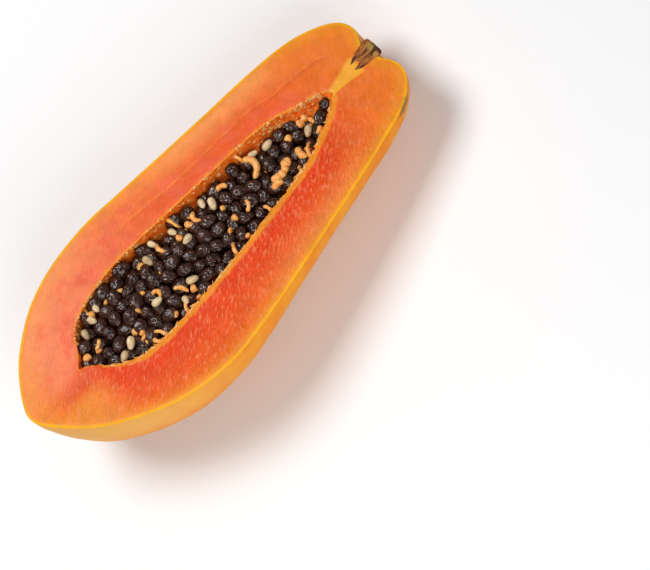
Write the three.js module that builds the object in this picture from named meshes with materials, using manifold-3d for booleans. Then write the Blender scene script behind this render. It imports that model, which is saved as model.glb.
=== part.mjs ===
// Half of a ripe papaya, cut lengthwise, lying on its rounded back with the cut face up.
// The skin and the flesh are one body round a seed cavity. The dried stem stub stands in the hollow
// between the shoulders, and a bed of black seeds fills the cavity.
// Lengths are in millimetres. The fruit is drawn in its own axes first: x runs from the blossom tip to
// the stem, y across the cut face and z out of it, with the cut face at z = 0. It is then leaned
// until it rests as a real half does.

import * as THREE from "three";
import { mergeVertices } from "three/addons/utils/BufferGeometryUtils.js";
import Module from "manifold-3d";

const wasm = await Module();
wasm.setup();

// Outlines, each a list of [along the fruit, out from its middle line]. The three outlines of the
// outside share their stations: the left and right edges of the cut face, and the back below it.
const LEFT_EDGE = [
  [0, 0], [1, 6.2], [8, 18.2], [18.5, 29.6], [36.2, 41.3], [56.4, 47.5], [79.8, 49.3], [98.2, 47.5],
  [125.8, 44.4], [153.3, 41.5], [180.8, 38.8], [203.1, 35.1], [218.1, 28.8], [226.5, 21.8],
  [229, 14.5], [227.4, 9], [225.8, 6.3], [225.1, 3.4], [225, 0],
];
const RIGHT_EDGE = [
  [0, 0], [2.1, 5.5], [9.9, 16.3], [21.5, 28.6], [39.8, 41.1], [59.7, 50.2], [82.3, 54.3], [99.8, 53.5],
  [126.2, 49.6], [152.6, 45], [179.2, 40.2], [200.9, 35.7], [216.8, 31.4], [226.4, 24.4],
  [229.7, 17.4], [228.6, 10.8], [227, 7.6], [225.9, 4], [225, 0],
];
const BACK_LINE = [
  [0, 0], [1.2, 10.5], [4, 25], [14, 40.5], [33, 51.8], [54, 56.5], [79, 55.2], [99, 52],
  [126, 46], [153, 42], [180, 39], [202, 36.3], [217, 29.6], [226, 22.5],
  [229, 15], [227.4, 9], [225.9, 6.2], [225.2, 3.4], [225, 0],
];
const LOBES = 5; // carpels of the fruit, each a low ridge along its back
const LOBE_HEIGHT = 0.5;

// Outlines of the seed cavity: the left and right rims on the cut face, and the cavity's floor.
const LEFT_RIM = [
  [31.5, 0], [36.2, 5.4], [42.4, 15.1], [53.3, 20.4], [65.3, 22.6], [79.4, 23.3], [98.7, 21.9],
  [125.9, 19.2], [153.1, 16.6], [171.2, 13.9], [184.2, 8.5], [195.1, 4.4], [200, 0],
];
const RIGHT_RIM = [
  [31.5, 0], [37.2, 3.5], [44.5, 11.7], [54.6, 18], [66.6, 20.8], [80.5, 21.3], [99.3, 21],
  [126.1, 19.5], [152.9, 17], [170.8, 14.7], [183.8, 9.8], [194.9, 4.6], [200, 0],
];
const CAVITY_FLOOR = [
  [31.5, 0], [35.5, 9], [43, 19], [54, 24.5], [66, 26.5], [80, 26], [99, 23],
  [126, 20], [153, 17], [171, 14.5], [184, 10], [195, 5], [200, 0],
];

// Dried stem stub, rooted in the flesh, as a profile of [along the fruit, radius]
const STEM_PROFILE = [
  [214.8, 0], [215.2, 1.2], [217.5, 2.9], [221, 4.1], [225, 4.8], [228, 5.2], [229.3, 4.4], [229.3, 0],
];
const STEM_RIBS = 9;
const STEM_RIB_HEIGHT = 0.35;

// Seeds, lying in the cavity as an uneven bed, which falls away towards the stem and the left wall and
// rises again where the cavity gets shallow at its top
const SEED_HALF = [4.2, 3.5, 3.2]; // half length, half width, half thickness
const SEED_SPACING = 7.1;
const SEED_MARGIN = 2.9; // from the middle of a seed to the rim
const TOP_MARGIN = 5.2; // the same at the cavity's narrow top
const JOLT = 0.3; // share of the spacing that a seed may stray from its row
const SETTLING_ROUNDS = 12;
const BED_DEPTH = 5; // middle of the top seeds under the cut face
const UNEVEN = 1.4; // how far a seed may lie above or below its neighbours
const NARROW_MOUTH = 12; // where the mouth is this narrow, seeds lie along the fruit
const FALL_FROM = 112; // along the fruit
const FALL_ALONG = 0.03; // each mm towards the stem
const FALL_ACROSS = 0.12; // each mm to the left of the middle line
const RISE_FROM = 176; // along the fruit
const RISE_ALONG = 0.2; // each mm towards the stem
const CORE_UNDER = 1.2; // top of the packed seeds below the middle of the ones that show
const PALE_SEED_HALF = [2.9, 1.75, 1.55];
const PALE_SEED_SPACING = 19;
const PALE_SEED_RISE = 2.3; // above the middle of the black seeds
const PALE_UNEVEN = 0.4;
const UNDER_PALE = 2; // how much deeper a black seed lies under a pale one
const PALE_REACH = 4.6; // how near to a pale seed that is
const STRAND_STATIONS = [52, 71, 84, 108, 118, 143, 150, 172]; // strands that reach over the seeds
const STRAND_RADIUS = 1.05;

const BLOSSOM_SCAR = [2.2, -4.5, -15]; // middle of the shallow dent where the blossom fell
const SCAR_DENT_RADIUS = 9;
const SCAR_DENT_DEPTH = 0.8;

const GAP = 0.35; // between pieces that touch
const BED_GAP = 0.8; // between the bed of seeds and the cavity's wall
const STEM_GAP = 0.45; // between the stub and its socket
const FLAT_SPOT = 0.9; // how far the back is pressed flat where the fruit rests
const REST_TILT_DEG = 7.8; // the cut face leans towards the stem when the half lies on its back
const DRAW_SEED = 20471;

// Steps of the surfaces
const SKIN_STATIONS = 42;
const SKIN_ROUND = 22; // over the half that is kept
const CAVITY_STATIONS = 27;
const CAVITY_ROUND = 8;
const SEED_SIDES = 8;
const SEED_RINGS = 3;

const MOUTH_FOOT = LEFT_RIM[0][0];
const MOUTH_TOP = LEFT_RIM[LEFT_RIM.length - 1][0];
const BLOCK = 800;

// A run of repeatable random numbers from 0 to 1
class Dice {
  constructor(seed) {
    this.state = seed;
  }
  roll() {
    this.state = (this.state * 48271) % 2147483647;
    return this.state / 2147483647;
  }
  between(low, high) {
    return low + (high - low) * this.roll();
  }
}

// A smooth line through an outline's points, read at a share of its stations
function outlineReader(points) {
  const spline = new THREE.SplineCurve(points.map(([x, out]) => new THREE.Vector2(x, out)));
  return (share) => spline.getPoint(share);
}

const skin = {
  left: outlineReader(LEFT_EDGE),
  right: outlineReader(RIGHT_EDGE),
  below: outlineReader(BACK_LINE),
};
const cavity = {
  left: outlineReader(LEFT_RIM),
  right: outlineReader(RIGHT_RIM),
  below: outlineReader(CAVITY_FLOOR),
};

// Point of a surface hung between two edges and a line below them. The share runs along the fruit, and
// the turn from 0 at the left edge to PI at the right one. Each section is an arc through all three.
function hungPoint(lines, share, turn, raise) {
  const left = lines.left(share);
  const right = lines.right(share);
  const below = lines.below(share);
  const middle = (left.y - right.y) / 2;
  const half = Math.max((left.y + right.y) / 2, 1e-6);
  const deep = Math.max(below.y, 1e-6);
  const radius = (half * half + deep * deep) / (2 * deep);
  const centre = deep - radius;
  const start = Math.asin(THREE.MathUtils.clamp(centre / radius, -1, 1));
  const angle = -start + ((Math.PI + 2 * start) * turn) / Math.PI;
  const side = Math.cos(turn) ** 2;
  const edge = turn < Math.PI / 2 ? left.x : right.x;
  const out = radius + raise;
  return new THREE.Vector3(
    edge * side + below.x * (1 - side),
    middle + out * Math.cos(angle),
    -centre - out * Math.sin(angle),
  );
}

// Turns an indexed list of points and faces into a manifold solid
function solidFrom(geometry) {
  const bare = geometry.clone();
  bare.deleteAttribute("normal");
  bare.deleteAttribute("uv");
  const merged = mergeVertices(bare, 1e-4);
  return new wasm.Manifold(
    new wasm.Mesh({
      numProp: 3,
      vertProperties: merged.attributes.position.array,
      triVerts: new Uint32Array(merged.index.array),
    }),
  );
}

// Closed surface of the hung shape and its mirror image above the cut face. Points at the two ends
// all meet, and the raise says how far each point stands out.
function closedSurface(lines, stations, round, raiseAt) {
  const points = [];
  const faces = [];
  const around = 2 * round;
  const first = hungPoint(lines, 0, 0, 0);
  const last = hungPoint(lines, 1, 0, 0);
  points.push(first.x, 0, 0);
  for (let i = 1; i < stations; i++) {
    for (let j = 0; j < around; j++) {
      const mirrored = j > round;
      const turn = (Math.PI * (mirrored ? around - j : j)) / round;
      const p = hungPoint(lines, i / stations, turn, raiseAt(i / stations, turn));
      const onCut = j === 0 || j === round;
      points.push(p.x, p.y, onCut ? 0 : mirrored ? -p.z : p.z);
    }
  }
  const end = points.length / 3;
  points.push(last.x, 0, 0);
  const at = (i, j) => 1 + (i - 1) * around + (j % around);
  for (let j = 0; j < around; j++) {
    faces.push(0, at(1, j), at(1, j + 1));
    faces.push(end, at(stations - 1, j + 1), at(stations - 1, j));
    for (let i = 1; i < stations - 1; i++) {
      faces.push(at(i, j), at(i + 1, j), at(i + 1, j + 1));
      faces.push(at(i, j), at(i + 1, j + 1), at(i, j + 1));
    }
  }
  const geometry = new THREE.BufferGeometry();
  geometry.setAttribute("position", new THREE.Float32BufferAttribute(points, 3));
  geometry.setIndex(faces);
  return solidFrom(geometry);
}

// Low ridges of the carpels, which fade out at both ends and at the cut face
function lobeRaise(share, turn) {
  const ends = Math.sin(Math.PI * Math.min(share / 0.85, 1)) ** 0.5;
  return -LOBE_HEIGHT * ends * Math.sin(turn) * Math.cos(LOBES * (turn - Math.PI / 2));
}

// A block wider than the fruit, whose lower face lies at a given height
function slabAbove(height) {
  return solidFrom(new THREE.BoxGeometry(BLOCK, BLOCK, BLOCK).translate(0, 0, height + BLOCK / 2));
}

// How far a rim of the cavity stands from the middle line at a place along the fruit
function rimAt(rim, x) {
  const next = rim.findIndex(([station]) => station > x);
  if (next < 1) return 0;
  const [x0, out0] = rim[next - 1];
  const [x1, out1] = rim[next];
  return THREE.MathUtils.mapLinear(x, x0, x1, out0, out1);
}

// Lowest and highest place across the mouth for a seed, both in the middle where it is narrow
function mouthAt(x, margin) {
  const right = -rimAt(RIGHT_RIM, x);
  const left = rimAt(LEFT_RIM, x);
  const inset = Math.min(margin, (left - right) / 2);
  return [right + inset, left - inset];
}

// Keeps a spot inside the cavity's mouth
function insideMouth([x, y], margin) {
  const along = THREE.MathUtils.clamp(x, MOUTH_FOOT + margin, MOUTH_TOP - TOP_MARGIN);
  return [along, THREE.MathUtils.clamp(y, ...mouthAt(along, margin))];
}

// Pushes spots apart until they lie about evenly
function settle(spots, spacing, margin) {
  for (let round = 0; round < SETTLING_ROUNDS; round++) {
    for (let i = 0; i < spots.length; i++) {
      for (let j = 0; j < i; j++) {
        const dx = spots[i][0] - spots[j][0];
        const dy = spots[i][1] - spots[j][1];
        const apart = Math.hypot(dx, dy);
        if (apart >= spacing || apart === 0) continue;
        const push = (0.25 * (spacing - apart)) / apart;
        spots[i] = [spots[i][0] + dx * push, spots[i][1] + dy * push];
        spots[j] = [spots[j][0] - dx * push, spots[j][1] - dy * push];
      }
      spots[i] = insideMouth(spots[i], margin);
    }
  }
  return spots;
}

// Spots over the cavity's mouth: staggered rows, jolted by random draws and then settled
function spotsOver(dice, spacing, margin) {
  const spots = [];
  const rowStep = (spacing * Math.sqrt(3)) / 2;
  const rows = Math.floor((MOUTH_TOP - MOUTH_FOOT - margin - TOP_MARGIN) / rowStep);
  for (let row = 0; row <= rows; row++) {
    const x = MOUTH_FOOT + margin + row * rowStep;
    const [low, high] = mouthAt(x, margin);
    for (let y = low + (high > low ? (row % 2) * 0.5 * spacing : 0); y <= high; y += spacing) {
      spots.push([x + dice.between(-JOLT, JOLT) * spacing, y + dice.between(-JOLT, JOLT) * spacing]);
    }
  }
  return settle(spots, spacing, margin);
}

// Depth under the cut face of the middle of the top seeds
function bedDepth(x, y) {
  const fall = Math.max(0, (x - FALL_FROM) * FALL_ALONG + y * FALL_ACROSS);
  return BED_DEPTH + fall - Math.max(0, (x - RISE_FROM) * RISE_ALONG);
}

// How freely a seed turns, from 0 where the mouth is narrow to 1 where it is wide
function turnShare(x) {
  const wide = rimAt(LEFT_RIM, x) + rimAt(RIGHT_RIM, x);
  return THREE.MathUtils.clamp(wide / NARROW_MOUTH - 1, 0, 1);
}

// One seed, a squat egg with few sides, lying on the bed and turned by random draws
function seedSolid(dice, [x, y], depth, half) {
  const size = dice.between(0.88, 1.1);
  const roll = dice.between(-0.4, 0.4);
  const tip = dice.between(-0.5, 0.5);
  const turned = new THREE.Euler(roll, tip, turnShare(x) * dice.between(0, Math.PI), "ZYX");
  const egg = new THREE.SphereGeometry(size, SEED_SIDES, SEED_RINGS)
    .rotateX(Math.PI / 2)
    .scale(...half)
    .applyMatrix4(new THREE.Matrix4().makeRotationFromEuler(turned))
    .translate(x, y, -depth);
  return solidFrom(egg);
}

// One strand: a bent tube that starts in the flesh of a rim and lies over the seeds
function strandSolid(dice, station, side, radius) {
  const root = side * rimAt(side > 0 ? LEFT_RIM : RIGHT_RIM, station);
  const drift = dice.between(-4, 4);
  const reach = side * dice.between(4.5, 8);
  const depth = bedDepth(station, root);
  const path = new THREE.CatmullRomCurve3([
    new THREE.Vector3(station, root + side * 2.2, -0.9 * depth),
    new THREE.Vector3(station + 0.3 * drift, root - 0.35 * reach, -0.35 * depth),
    new THREE.Vector3(station + drift, root - 0.8 * reach, -0.45 * depth),
    new THREE.Vector3(station + 1.5 * drift, root - reach, -0.95 * depth),
  ]);
  const section = new THREE.Shape().absarc(0, 0, radius, 0, 2 * Math.PI);
  const shape = { extrudePath: path, steps: 5, curveSegments: 3, bevelEnabled: false };
  return solidFrom(new THREE.ExtrudeGeometry(section, shape));
}

// Every strand, one in three from the left rim
function allStrands(radius) {
  const dice = new Dice(DRAW_SEED + 3);
  return STRAND_STATIONS.map((station, i) => strandSolid(dice, station, i % 3 === 0 ? 1 : -1, radius));
}

const joined = (solids) => solids.reduce((whole, piece) => whole.add(piece));

// The largest of the bodies that a cut has left
function largestBody(solid) {
  return solid.decompose().reduce((best, body) => (body.volume() > best.volume() ? body : best));
}

// Skin and flesh as one body, with the cavity, the strands and the dent of the blossom's scar
function fleshSolid() {
  const outside = closedSurface(skin, SKIN_STATIONS, SKIN_ROUND, lobeRaise);
  const hollow = closedSurface(cavity, CAVITY_STATIONS, CAVITY_ROUND, () => 0);
  const [x, y, z] = BLOSSOM_SCAR;
  const ball = new THREE.SphereGeometry(SCAR_DENT_RADIUS, 24, 16);
  const dent = solidFrom(ball.translate(x + SCAR_DENT_DEPTH - SCAR_DENT_RADIUS, y, z));
  const body = outside.subtract(hollow).subtract(dent).subtract(stubSolid(STEM_GAP, 0));
  return joined([body, ...allStrands(STRAND_RADIUS)]).subtract(slabAbove(0));
}

// The bed's packed inside: what lies in the cavity below the middle of the top seeds
function packedSeeds(clear) {
  const level = -BED_DEPTH - CORE_UNDER;
  const across = THREE.MathUtils.radToDeg(-Math.atan(FALL_ACROSS));
  const aboveSlope = (slope, x, height) => {
    const along = THREE.MathUtils.radToDeg(Math.atan(slope));
    return slabAbove(0).rotate([across, along, 0]).translate([x, 0, height]);
  };
  const falling = aboveSlope(FALL_ALONG, FALL_FROM, level);
  const lowest = level - (RISE_FROM - FALL_FROM) * FALL_ALONG;
  const rising = aboveSlope(FALL_ALONG - RISE_ALONG, RISE_FROM, lowest);
  return clear.subtract(slabAbove(level)).subtract(falling.intersect(rising));
}

// Black seeds and a few pale, unripe ones, grown into one bed that keeps clear of wall and strands
function seedsSolid() {
  const dice = new Dice(DRAW_SEED + 1);
  const paleDice = new Dice(DRAW_SEED + 2);
  const clear = closedSurface(cavity, CAVITY_STATIONS, CAVITY_ROUND, () => -BED_GAP);
  const paleSpots = spotsOver(paleDice, PALE_SEED_SPACING, SEED_MARGIN);
  const black = spotsOver(dice, SEED_SPACING, SEED_MARGIN).map((spot) => {
    const underPale = paleSpots.some(([x, y]) => Math.hypot(x - spot[0], y - spot[1]) < PALE_REACH);
    const depth = bedDepth(...spot) + (underPale ? UNDER_PALE : 0);
    return seedSolid(dice, spot, depth + dice.between(-UNEVEN, UNEVEN), SEED_HALF);
  });
  const pale = paleSpots.map((spot) => {
    const depth = bedDepth(...spot) - PALE_SEED_RISE;
    return seedSolid(paleDice, spot, depth + paleDice.between(-PALE_UNEVEN, PALE_UNEVEN), PALE_SEED_HALF);
  });
  const bed = joined([packedSeeds(clear), ...black, ...pale]).intersect(clear);
  return largestBody(bed.subtract(joined(allStrands(STRAND_RADIUS + GAP))));
}

// Whole round stub, ribbed along its sides. Grown, it is the socket that it stands in.
function stubSolid(grown, ribHeight) {
  const profile = STEM_PROFILE.map(([x, radius], i) => {
    const foot = i < 2 ? grown : 0;
    return new THREE.Vector2(radius === 0 ? 0 : radius + grown, x - foot);
  });
  const stub = new THREE.LatheGeometry(profile, 2 * STEM_RIBS).rotateZ(-Math.PI / 2);
  const position = stub.attributes.position;
  for (let i = 0; i < position.count; i++) {
    const radius = Math.hypot(position.getY(i), position.getZ(i));
    if (radius > 1) {
      const round = Math.atan2(position.getZ(i), position.getY(i));
      const share = 1 - (ribHeight * (1 + Math.cos(STEM_RIBS * round))) / (2 * radius);
      position.setY(i, position.getY(i) * share);
      position.setZ(i, position.getZ(i) * share);
    }
  }
  return solidFrom(stub);
}

function meshOf(name, solid, look) {
  const { vertProperties, triVerts } = solid.getMesh();
  const geometry = new THREE.BufferGeometry();
  geometry.setAttribute("position", new THREE.BufferAttribute(vertProperties, 3));
  geometry.setIndex(new THREE.BufferAttribute(triVerts, 1));
  geometry.computeVertexNormals();
  const mesh = new THREE.Mesh(geometry, new THREE.MeshStandardMaterial(look));
  mesh.name = name;
  return mesh;
}

// The pieces in the part's frame: leaned as the half rests, pressed flat underneath, and moved until
// the box round them all stands centred on the origin
function buildHalf() {
  const group = new THREE.Group();
  group.name = "half_papaya";
  const lean = (solid) => solid.rotate([0, REST_TILT_DEG, 0]);
  const whole = lean(fleshSolid());
  const floor = whole.boundingBox().min[2] + FLAT_SPOT;
  const flesh = whole.subtract(slabAbove(floor - BLOCK));
  const stem = lean(stubSolid(0, STEM_RIB_HEIGHT).subtract(slabAbove(-GAP)));
  group.add(
    meshOf("flesh", flesh, { color: 0xec7a40, roughness: 0.4 }),
    meshOf("seeds", lean(seedsSolid()), { color: 0x2a1914, roughness: 0.35 }),
    meshOf("stem", stem, { color: 0x7a4526, roughness: 0.9 }),
  );
  const box = new THREE.Box3().setFromObject(group);
  const middle = box.getCenter(new THREE.Vector3());
  for (const mesh of group.children) mesh.geometry.translate(-middle.x, -middle.y, -box.min.z);
  return group;
}

export default buildHalf();
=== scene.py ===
"""Half of a ripe papaya, cut lengthwise and lying on its back with the cut face up.

Shapes are drawn in the fruit's own axes, in millimetres: x runs from the blossom tip to the stem, y
across the cut face to its left, and z out of it, with the cut face at z = 0. A placement then leans
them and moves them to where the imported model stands.
"""

from __future__ import annotations

import logging
import math
from collections.abc import Callable, Sequence
from dataclasses import dataclass
from enum import Enum

import bmesh
import bpy
import numpy as np
from bmesh.types import BMesh, BMVert
from bpy.types import Material, Mesh, Node, NodeSocket, Object
from mathutils import Euler, Matrix, Vector, noise

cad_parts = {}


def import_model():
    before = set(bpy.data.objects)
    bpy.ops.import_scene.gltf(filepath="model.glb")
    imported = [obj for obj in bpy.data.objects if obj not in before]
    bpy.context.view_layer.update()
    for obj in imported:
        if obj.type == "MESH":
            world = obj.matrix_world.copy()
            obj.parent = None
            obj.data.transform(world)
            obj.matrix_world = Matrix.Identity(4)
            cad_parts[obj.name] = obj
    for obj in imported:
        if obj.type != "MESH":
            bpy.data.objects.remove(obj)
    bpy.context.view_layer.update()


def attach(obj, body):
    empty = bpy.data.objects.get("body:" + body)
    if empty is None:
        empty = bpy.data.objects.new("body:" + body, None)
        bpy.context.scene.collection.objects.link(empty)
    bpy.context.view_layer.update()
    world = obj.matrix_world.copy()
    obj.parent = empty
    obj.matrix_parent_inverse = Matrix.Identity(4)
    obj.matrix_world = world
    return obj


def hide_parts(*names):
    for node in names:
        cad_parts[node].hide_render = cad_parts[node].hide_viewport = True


LOG = logging.getLogger("papaya")
DRAW_SEED = 20471
TINY = 1e-6  # keeps a division from failing
WELD_MM = 0.002  # points nearer than this are one
FINE_WELD_MM = 0.0005  # the same for thin strands and small seeds
NO_TUBE_WAY = (0.13, 0.21, 0.97)  # a direction that no tube runs in
# Sockets of a mix node for colours, by number because others share their names
MIX_BELOW, MIX_ABOVE, MIX_RESULT = 6, 7, 2

Array = np.ndarray
Pair = tuple[float, float]
Triple = tuple[float, float, float]
Spans = tuple[Pair, Pair]
Outline = tuple[Pair, ...]
Stops = tuple[tuple[float, str], ...]
Layers = tuple[tuple[str, str], ...]
PatchShape = Callable[[Array, Array], Array]

# Outlines in millimetres, as (along the fruit, out from its middle line)
LEFT_EDGE = (
    (0, 0), (1, 6.2), (8, 18.2), (18.5, 29.6), (36.2, 41.3), (56.4, 47.5), (79.8, 49.3), (98.2, 47.5),
    (125.8, 44.4), (153.3, 41.5), (180.8, 38.8), (203.1, 35.1), (218.1, 28.8), (226.5, 21.8),
    (229, 14.5), (227.4, 9), (225.8, 6.3), (225.1, 3.4), (225, 0),
)
RIGHT_EDGE = (
    (0, 0), (2.1, 5.5), (9.9, 16.3), (21.5, 28.6), (39.8, 41.1), (59.7, 50.2), (82.3, 54.3), (99.8, 53.5),
    (126.2, 49.6), (152.6, 45), (179.2, 40.2), (200.9, 35.7), (216.8, 31.4), (226.4, 24.4),
    (229.7, 17.4), (228.6, 10.8), (227, 7.6), (225.9, 4), (225, 0),
)
BACK_LINE = (
    (0, 0), (1.2, 10.5), (4, 25), (14, 40.5), (33, 51.8), (54, 56.5), (79, 55.2), (99, 52),
    (126, 46), (153, 42), (180, 39), (202, 36.3), (217, 29.6), (226, 22.5),
    (229, 15), (227.4, 9), (225.9, 6.2), (225.2, 3.4), (225, 0),
)
LEFT_RIM = (
    (31.5, 0), (36.2, 5.4), (42.4, 15.1), (53.3, 20.4), (65.3, 22.6), (79.4, 23.3), (98.7, 21.9),
    (125.9, 19.2), (153.1, 16.6), (171.2, 13.9), (184.2, 8.5), (195.1, 4.4), (200, 0),
)
RIGHT_RIM = (
    (31.5, 0), (37.2, 3.5), (44.5, 11.7), (54.6, 18), (66.6, 20.8), (80.5, 21.3), (99.3, 21),
    (126.1, 19.5), (152.9, 17), (170.8, 14.7), (183.8, 9.8), (194.9, 4.6), (200, 0),
)
CAVITY_FLOOR = (
    (31.5, 0), (35.5, 9), (43, 19), (54, 24.5), (66, 26.5), (80, 26), (99, 23),
    (126, 20), (153, 17), (171, 14.5), (184, 10), (195, 5), (200, 0),
)
# Which point of a rim, by number, faces which point of the skin's edge
RIM_MATCH = (
    (0, 0), (3, 1.2), (4, 2), (5, 3.3), (6, 5), (7, 6), (8, 7), (9, 8), (10, 9.4), (11, 10.2),
    (12, 10.7), (13, 11), (14, 11.2), (15, 11.5), (16, 11.7), (17, 11.85), (18, 12),
)
# Bundle of vessels that the knife has laid open on the left, as (along the fruit, to its left)
VASCULAR_LINE = (
    (83, 34), (99, 32.7), (117, 29.8), (135, 27.7), (153, 26.6), (171, 25.1), (180, 21.9),
    (189, 20.9), (198, 19.3), (207, 17.2), (211.5, 15.2),
)
FIBRE_TURN_DEG = 39.3  # of the flesh's fibres, from the fruit's length to its left


def srgb(hex_colour: str) -> tuple[float, float, float, float]:
    """Turns a colour into the linear one that shaders take.

    Args:
        hex_colour: an sRGB colour, such as #ffffff.

    Returns:
        Red, green, blue and alpha from 0 to 1.
    """
    channels = (int(hex_colour[i : i + 2], 16) / 255 for i in (1, 3, 5))
    linear = (c / 12.92 if c <= 0.04045 else ((c + 0.055) / 1.055) ** 2.4 for c in channels)
    return (*linear, 1.0)


def smooth(low: float, high: float, value: Array) -> Array:
    """Rises smoothly from 0 at low to 1 at high."""
    share = np.clip((value - low) / (high - low), 0, 1)
    return share * share * (3 - 2 * share)


def in_both(spans: Spans, first: Array, second: Array) -> Array:
    """Rises smoothly from 0 to 1 where both values do, each over a span of its own."""
    return smooth(*spans[0], first) * smooth(*spans[1], second)


def noise_at(points: Array, wavelength: float | Sequence[float], shift: float = 0.0) -> Array:
    """Smooth noise from about -1 to 1 at each point.

    Args:
        points: positions in millimetres, one a row.
        wavelength: size of the noise's lumps in millimetres, one for all axes or one each.
        shift: moves the noise's pattern, so that each use has its own.

    Returns:
        One number for each point.
    """
    return np.array([noise.noise(Vector(p)) for p in points / np.asarray(wavelength) + shift])


def smooth_path(points: Sequence[Sequence[float]], share: Array) -> Array:
    """Reads a smooth line through some points.

    Args:
        points: the line's points.
        share: places along it from 0 to 1, counted in whole spans.

    Returns:
        One row for each place.
    """
    knots = np.asarray(points, dtype=float)
    last = len(knots) - 1
    place = share * last
    span = np.minimum(np.floor(place).astype(int), last)
    w = (place - span)[:, None]
    before, here = knots[np.maximum(span - 1, 0)], knots[span]
    after, beyond = knots[np.minimum(span + 1, last)], knots[np.minimum(span + 2, last)]
    leave, arrive = (after - before) / 2, (beyond - here) / 2
    return (
        (2 * here - 2 * after + leave + arrive) * w**3
        + (-3 * here + 3 * after - 2 * leave - arrive) * w**2
        + leave * w
        + here
    )


def nearest(points: Array, line: Array) -> Array:
    """Finds how far points lie from a line, in the cut plane.

    Args:
        points: positions in millimetres, one a row.
        line: points so dense that they stand for the line.

    Returns:
        One distance for each point.
    """
    gaps = [np.min(np.hypot(line[:, 0] - x, line[:, 1] - y)) for x, y in points[:, :2]]
    return np.array(gaps)


def turned(x: Array, y: Array, degrees: float) -> tuple[Array, Array]:
    """Reads places along and across a direction in the cut plane.

    Args:
        x: places along the fruit.
        y: places to its left.
        degrees: the direction, turned from the fruit's length to its left.

    Returns:
        The places along the direction, and those to its left.
    """
    turn = math.radians(degrees)
    return x * math.cos(turn) + y * math.sin(turn), y * math.cos(turn) - x * math.sin(turn)


class Dice:
    """A run of repeatable random numbers: each is the last one, multiplied and cut to a limit."""

    MULTIPLIER = 48271
    LIMIT = 2147483647

    def __init__(self, seed: int) -> None:
        """Starts the run."""
        self.state = seed

    def between(self, low: float, high: float) -> float:
        """Draws a number between two limits."""
        self.state = (self.state * self.MULTIPLIER) % self.LIMIT
        return low + (high - low) * self.state / self.LIMIT


@dataclass(frozen=True)
class Placement:
    """Where the fruit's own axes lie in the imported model's frame."""

    tilt_deg: float = 7.8
    origin_mm: Triple = (-113.7006, 2.5813, 64.1027)

    def matrix(self) -> Matrix:
        """Takes millimetres in the fruit's axes to metres in the part's frame."""
        lean = Matrix.Rotation(math.radians(self.tilt_deg), 4, "Y")
        return Matrix.Scale(0.001, 4) @ Matrix.Translation(self.origin_mm) @ lean


@dataclass(frozen=True)
class HungSurface:
    """A surface of arcs hung between two edges in the cut plane, through a line below them."""

    left: Outline
    right: Outline
    below: Outline

    def points(self, share: Array, turn: Array) -> Array:
        """Points of the surface.

        Args:
            share: places along the fruit from 0 to 1.
            turn: angles from 0 at the left edge to pi at the right one.

        Returns:
            Positions in the fruit's axes, one a row.
        """
        left, right, below = (smooth_path(line, share) for line in (self.left, self.right, self.below))
        half = np.maximum((left[:, 1] + right[:, 1]) / 2, TINY)
        deep = np.maximum(below[:, 1], TINY)
        radius = (half**2 + deep**2) / (2 * deep)
        centre = deep - radius
        start = np.arcsin(np.clip(centre / radius, -1, 1))
        angle = -start + (math.pi + 2 * start) * turn / math.pi
        side = np.cos(turn) ** 2
        edge = np.where(turn < math.pi / 2, left[:, 0], right[:, 0])
        across = (left[:, 1] - right[:, 1]) / 2 + radius * np.cos(angle)
        return np.stack(
            (edge * side + below[:, 0] * (1 - side), across, -centre - radius * np.sin(angle)), axis=1
        )


SKIN_SURFACE = HungSurface(LEFT_EDGE, RIGHT_EDGE, BACK_LINE)
CAVITY_SURFACE = HungSurface(LEFT_RIM, RIGHT_RIM, CAVITY_FLOOR)


def new_grained() -> BMesh:
    """Starts a mesh whose points store their place along the piece's own grain, and their film.

    Returns:
        The empty mesh.
    """
    bm = bmesh.new()
    bm.verts.layers.float_vector.new("grain")
    bm.verts.layers.float.new("film")
    return bm


def set_grain(bm: BMesh, verts: Sequence[BMVert], places: Array) -> None:
    """Stores places along a piece's grain, which a material reads in metres.

    Args:
        bm: the mesh.
        verts: its vertices.
        places: a place in millimetres for each of them.
    """
    layer = bm.verts.layers.float_vector["grain"]
    for vert, place in zip(verts, places / 1000):
        vert[layer] = place


def add_patch(
    bm: BMesh,
    rows: int,
    columns: int,
    shape: PatchShape,
    material: int = 0,
    grain: PatchShape | None = None,
) -> list[BMVert]:
    """Adds a grid bent to a shape.

    Args:
        bm: the mesh that takes the grid.
        rows: steps in the grid's first direction.
        columns: steps in its second direction.
        shape: gives positions for shares from 0 to 1 in both directions.
        material: number of the material slot of its faces.
        grain: gives places along the grain in the same way, if the mesh stores them.

    Returns:
        The grid's vertices.
    """
    verts = bmesh.ops.create_grid(bm, x_segments=rows, y_segments=columns, size=0.5)["verts"]
    flat = np.array([v.co for v in verts]) + 0.5
    for vert, place in zip(verts, shape(flat[:, 0], flat[:, 1])):
        vert.co = place
    if grain:
        set_grain(bm, verts, grain(flat[:, 0], flat[:, 1]))
    for face in {face for vert in verts for face in vert.link_faces}:
        face.material_index = material
    return verts


def add_ball(bm: BMesh, fineness: int, matrix: Matrix) -> list[BMVert]:
    """Adds a ball of triangles to a mesh, and gives its vertices."""
    return bmesh.ops.create_icosphere(bm, subdivisions=fineness, radius=1, matrix=matrix)["verts"]


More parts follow.
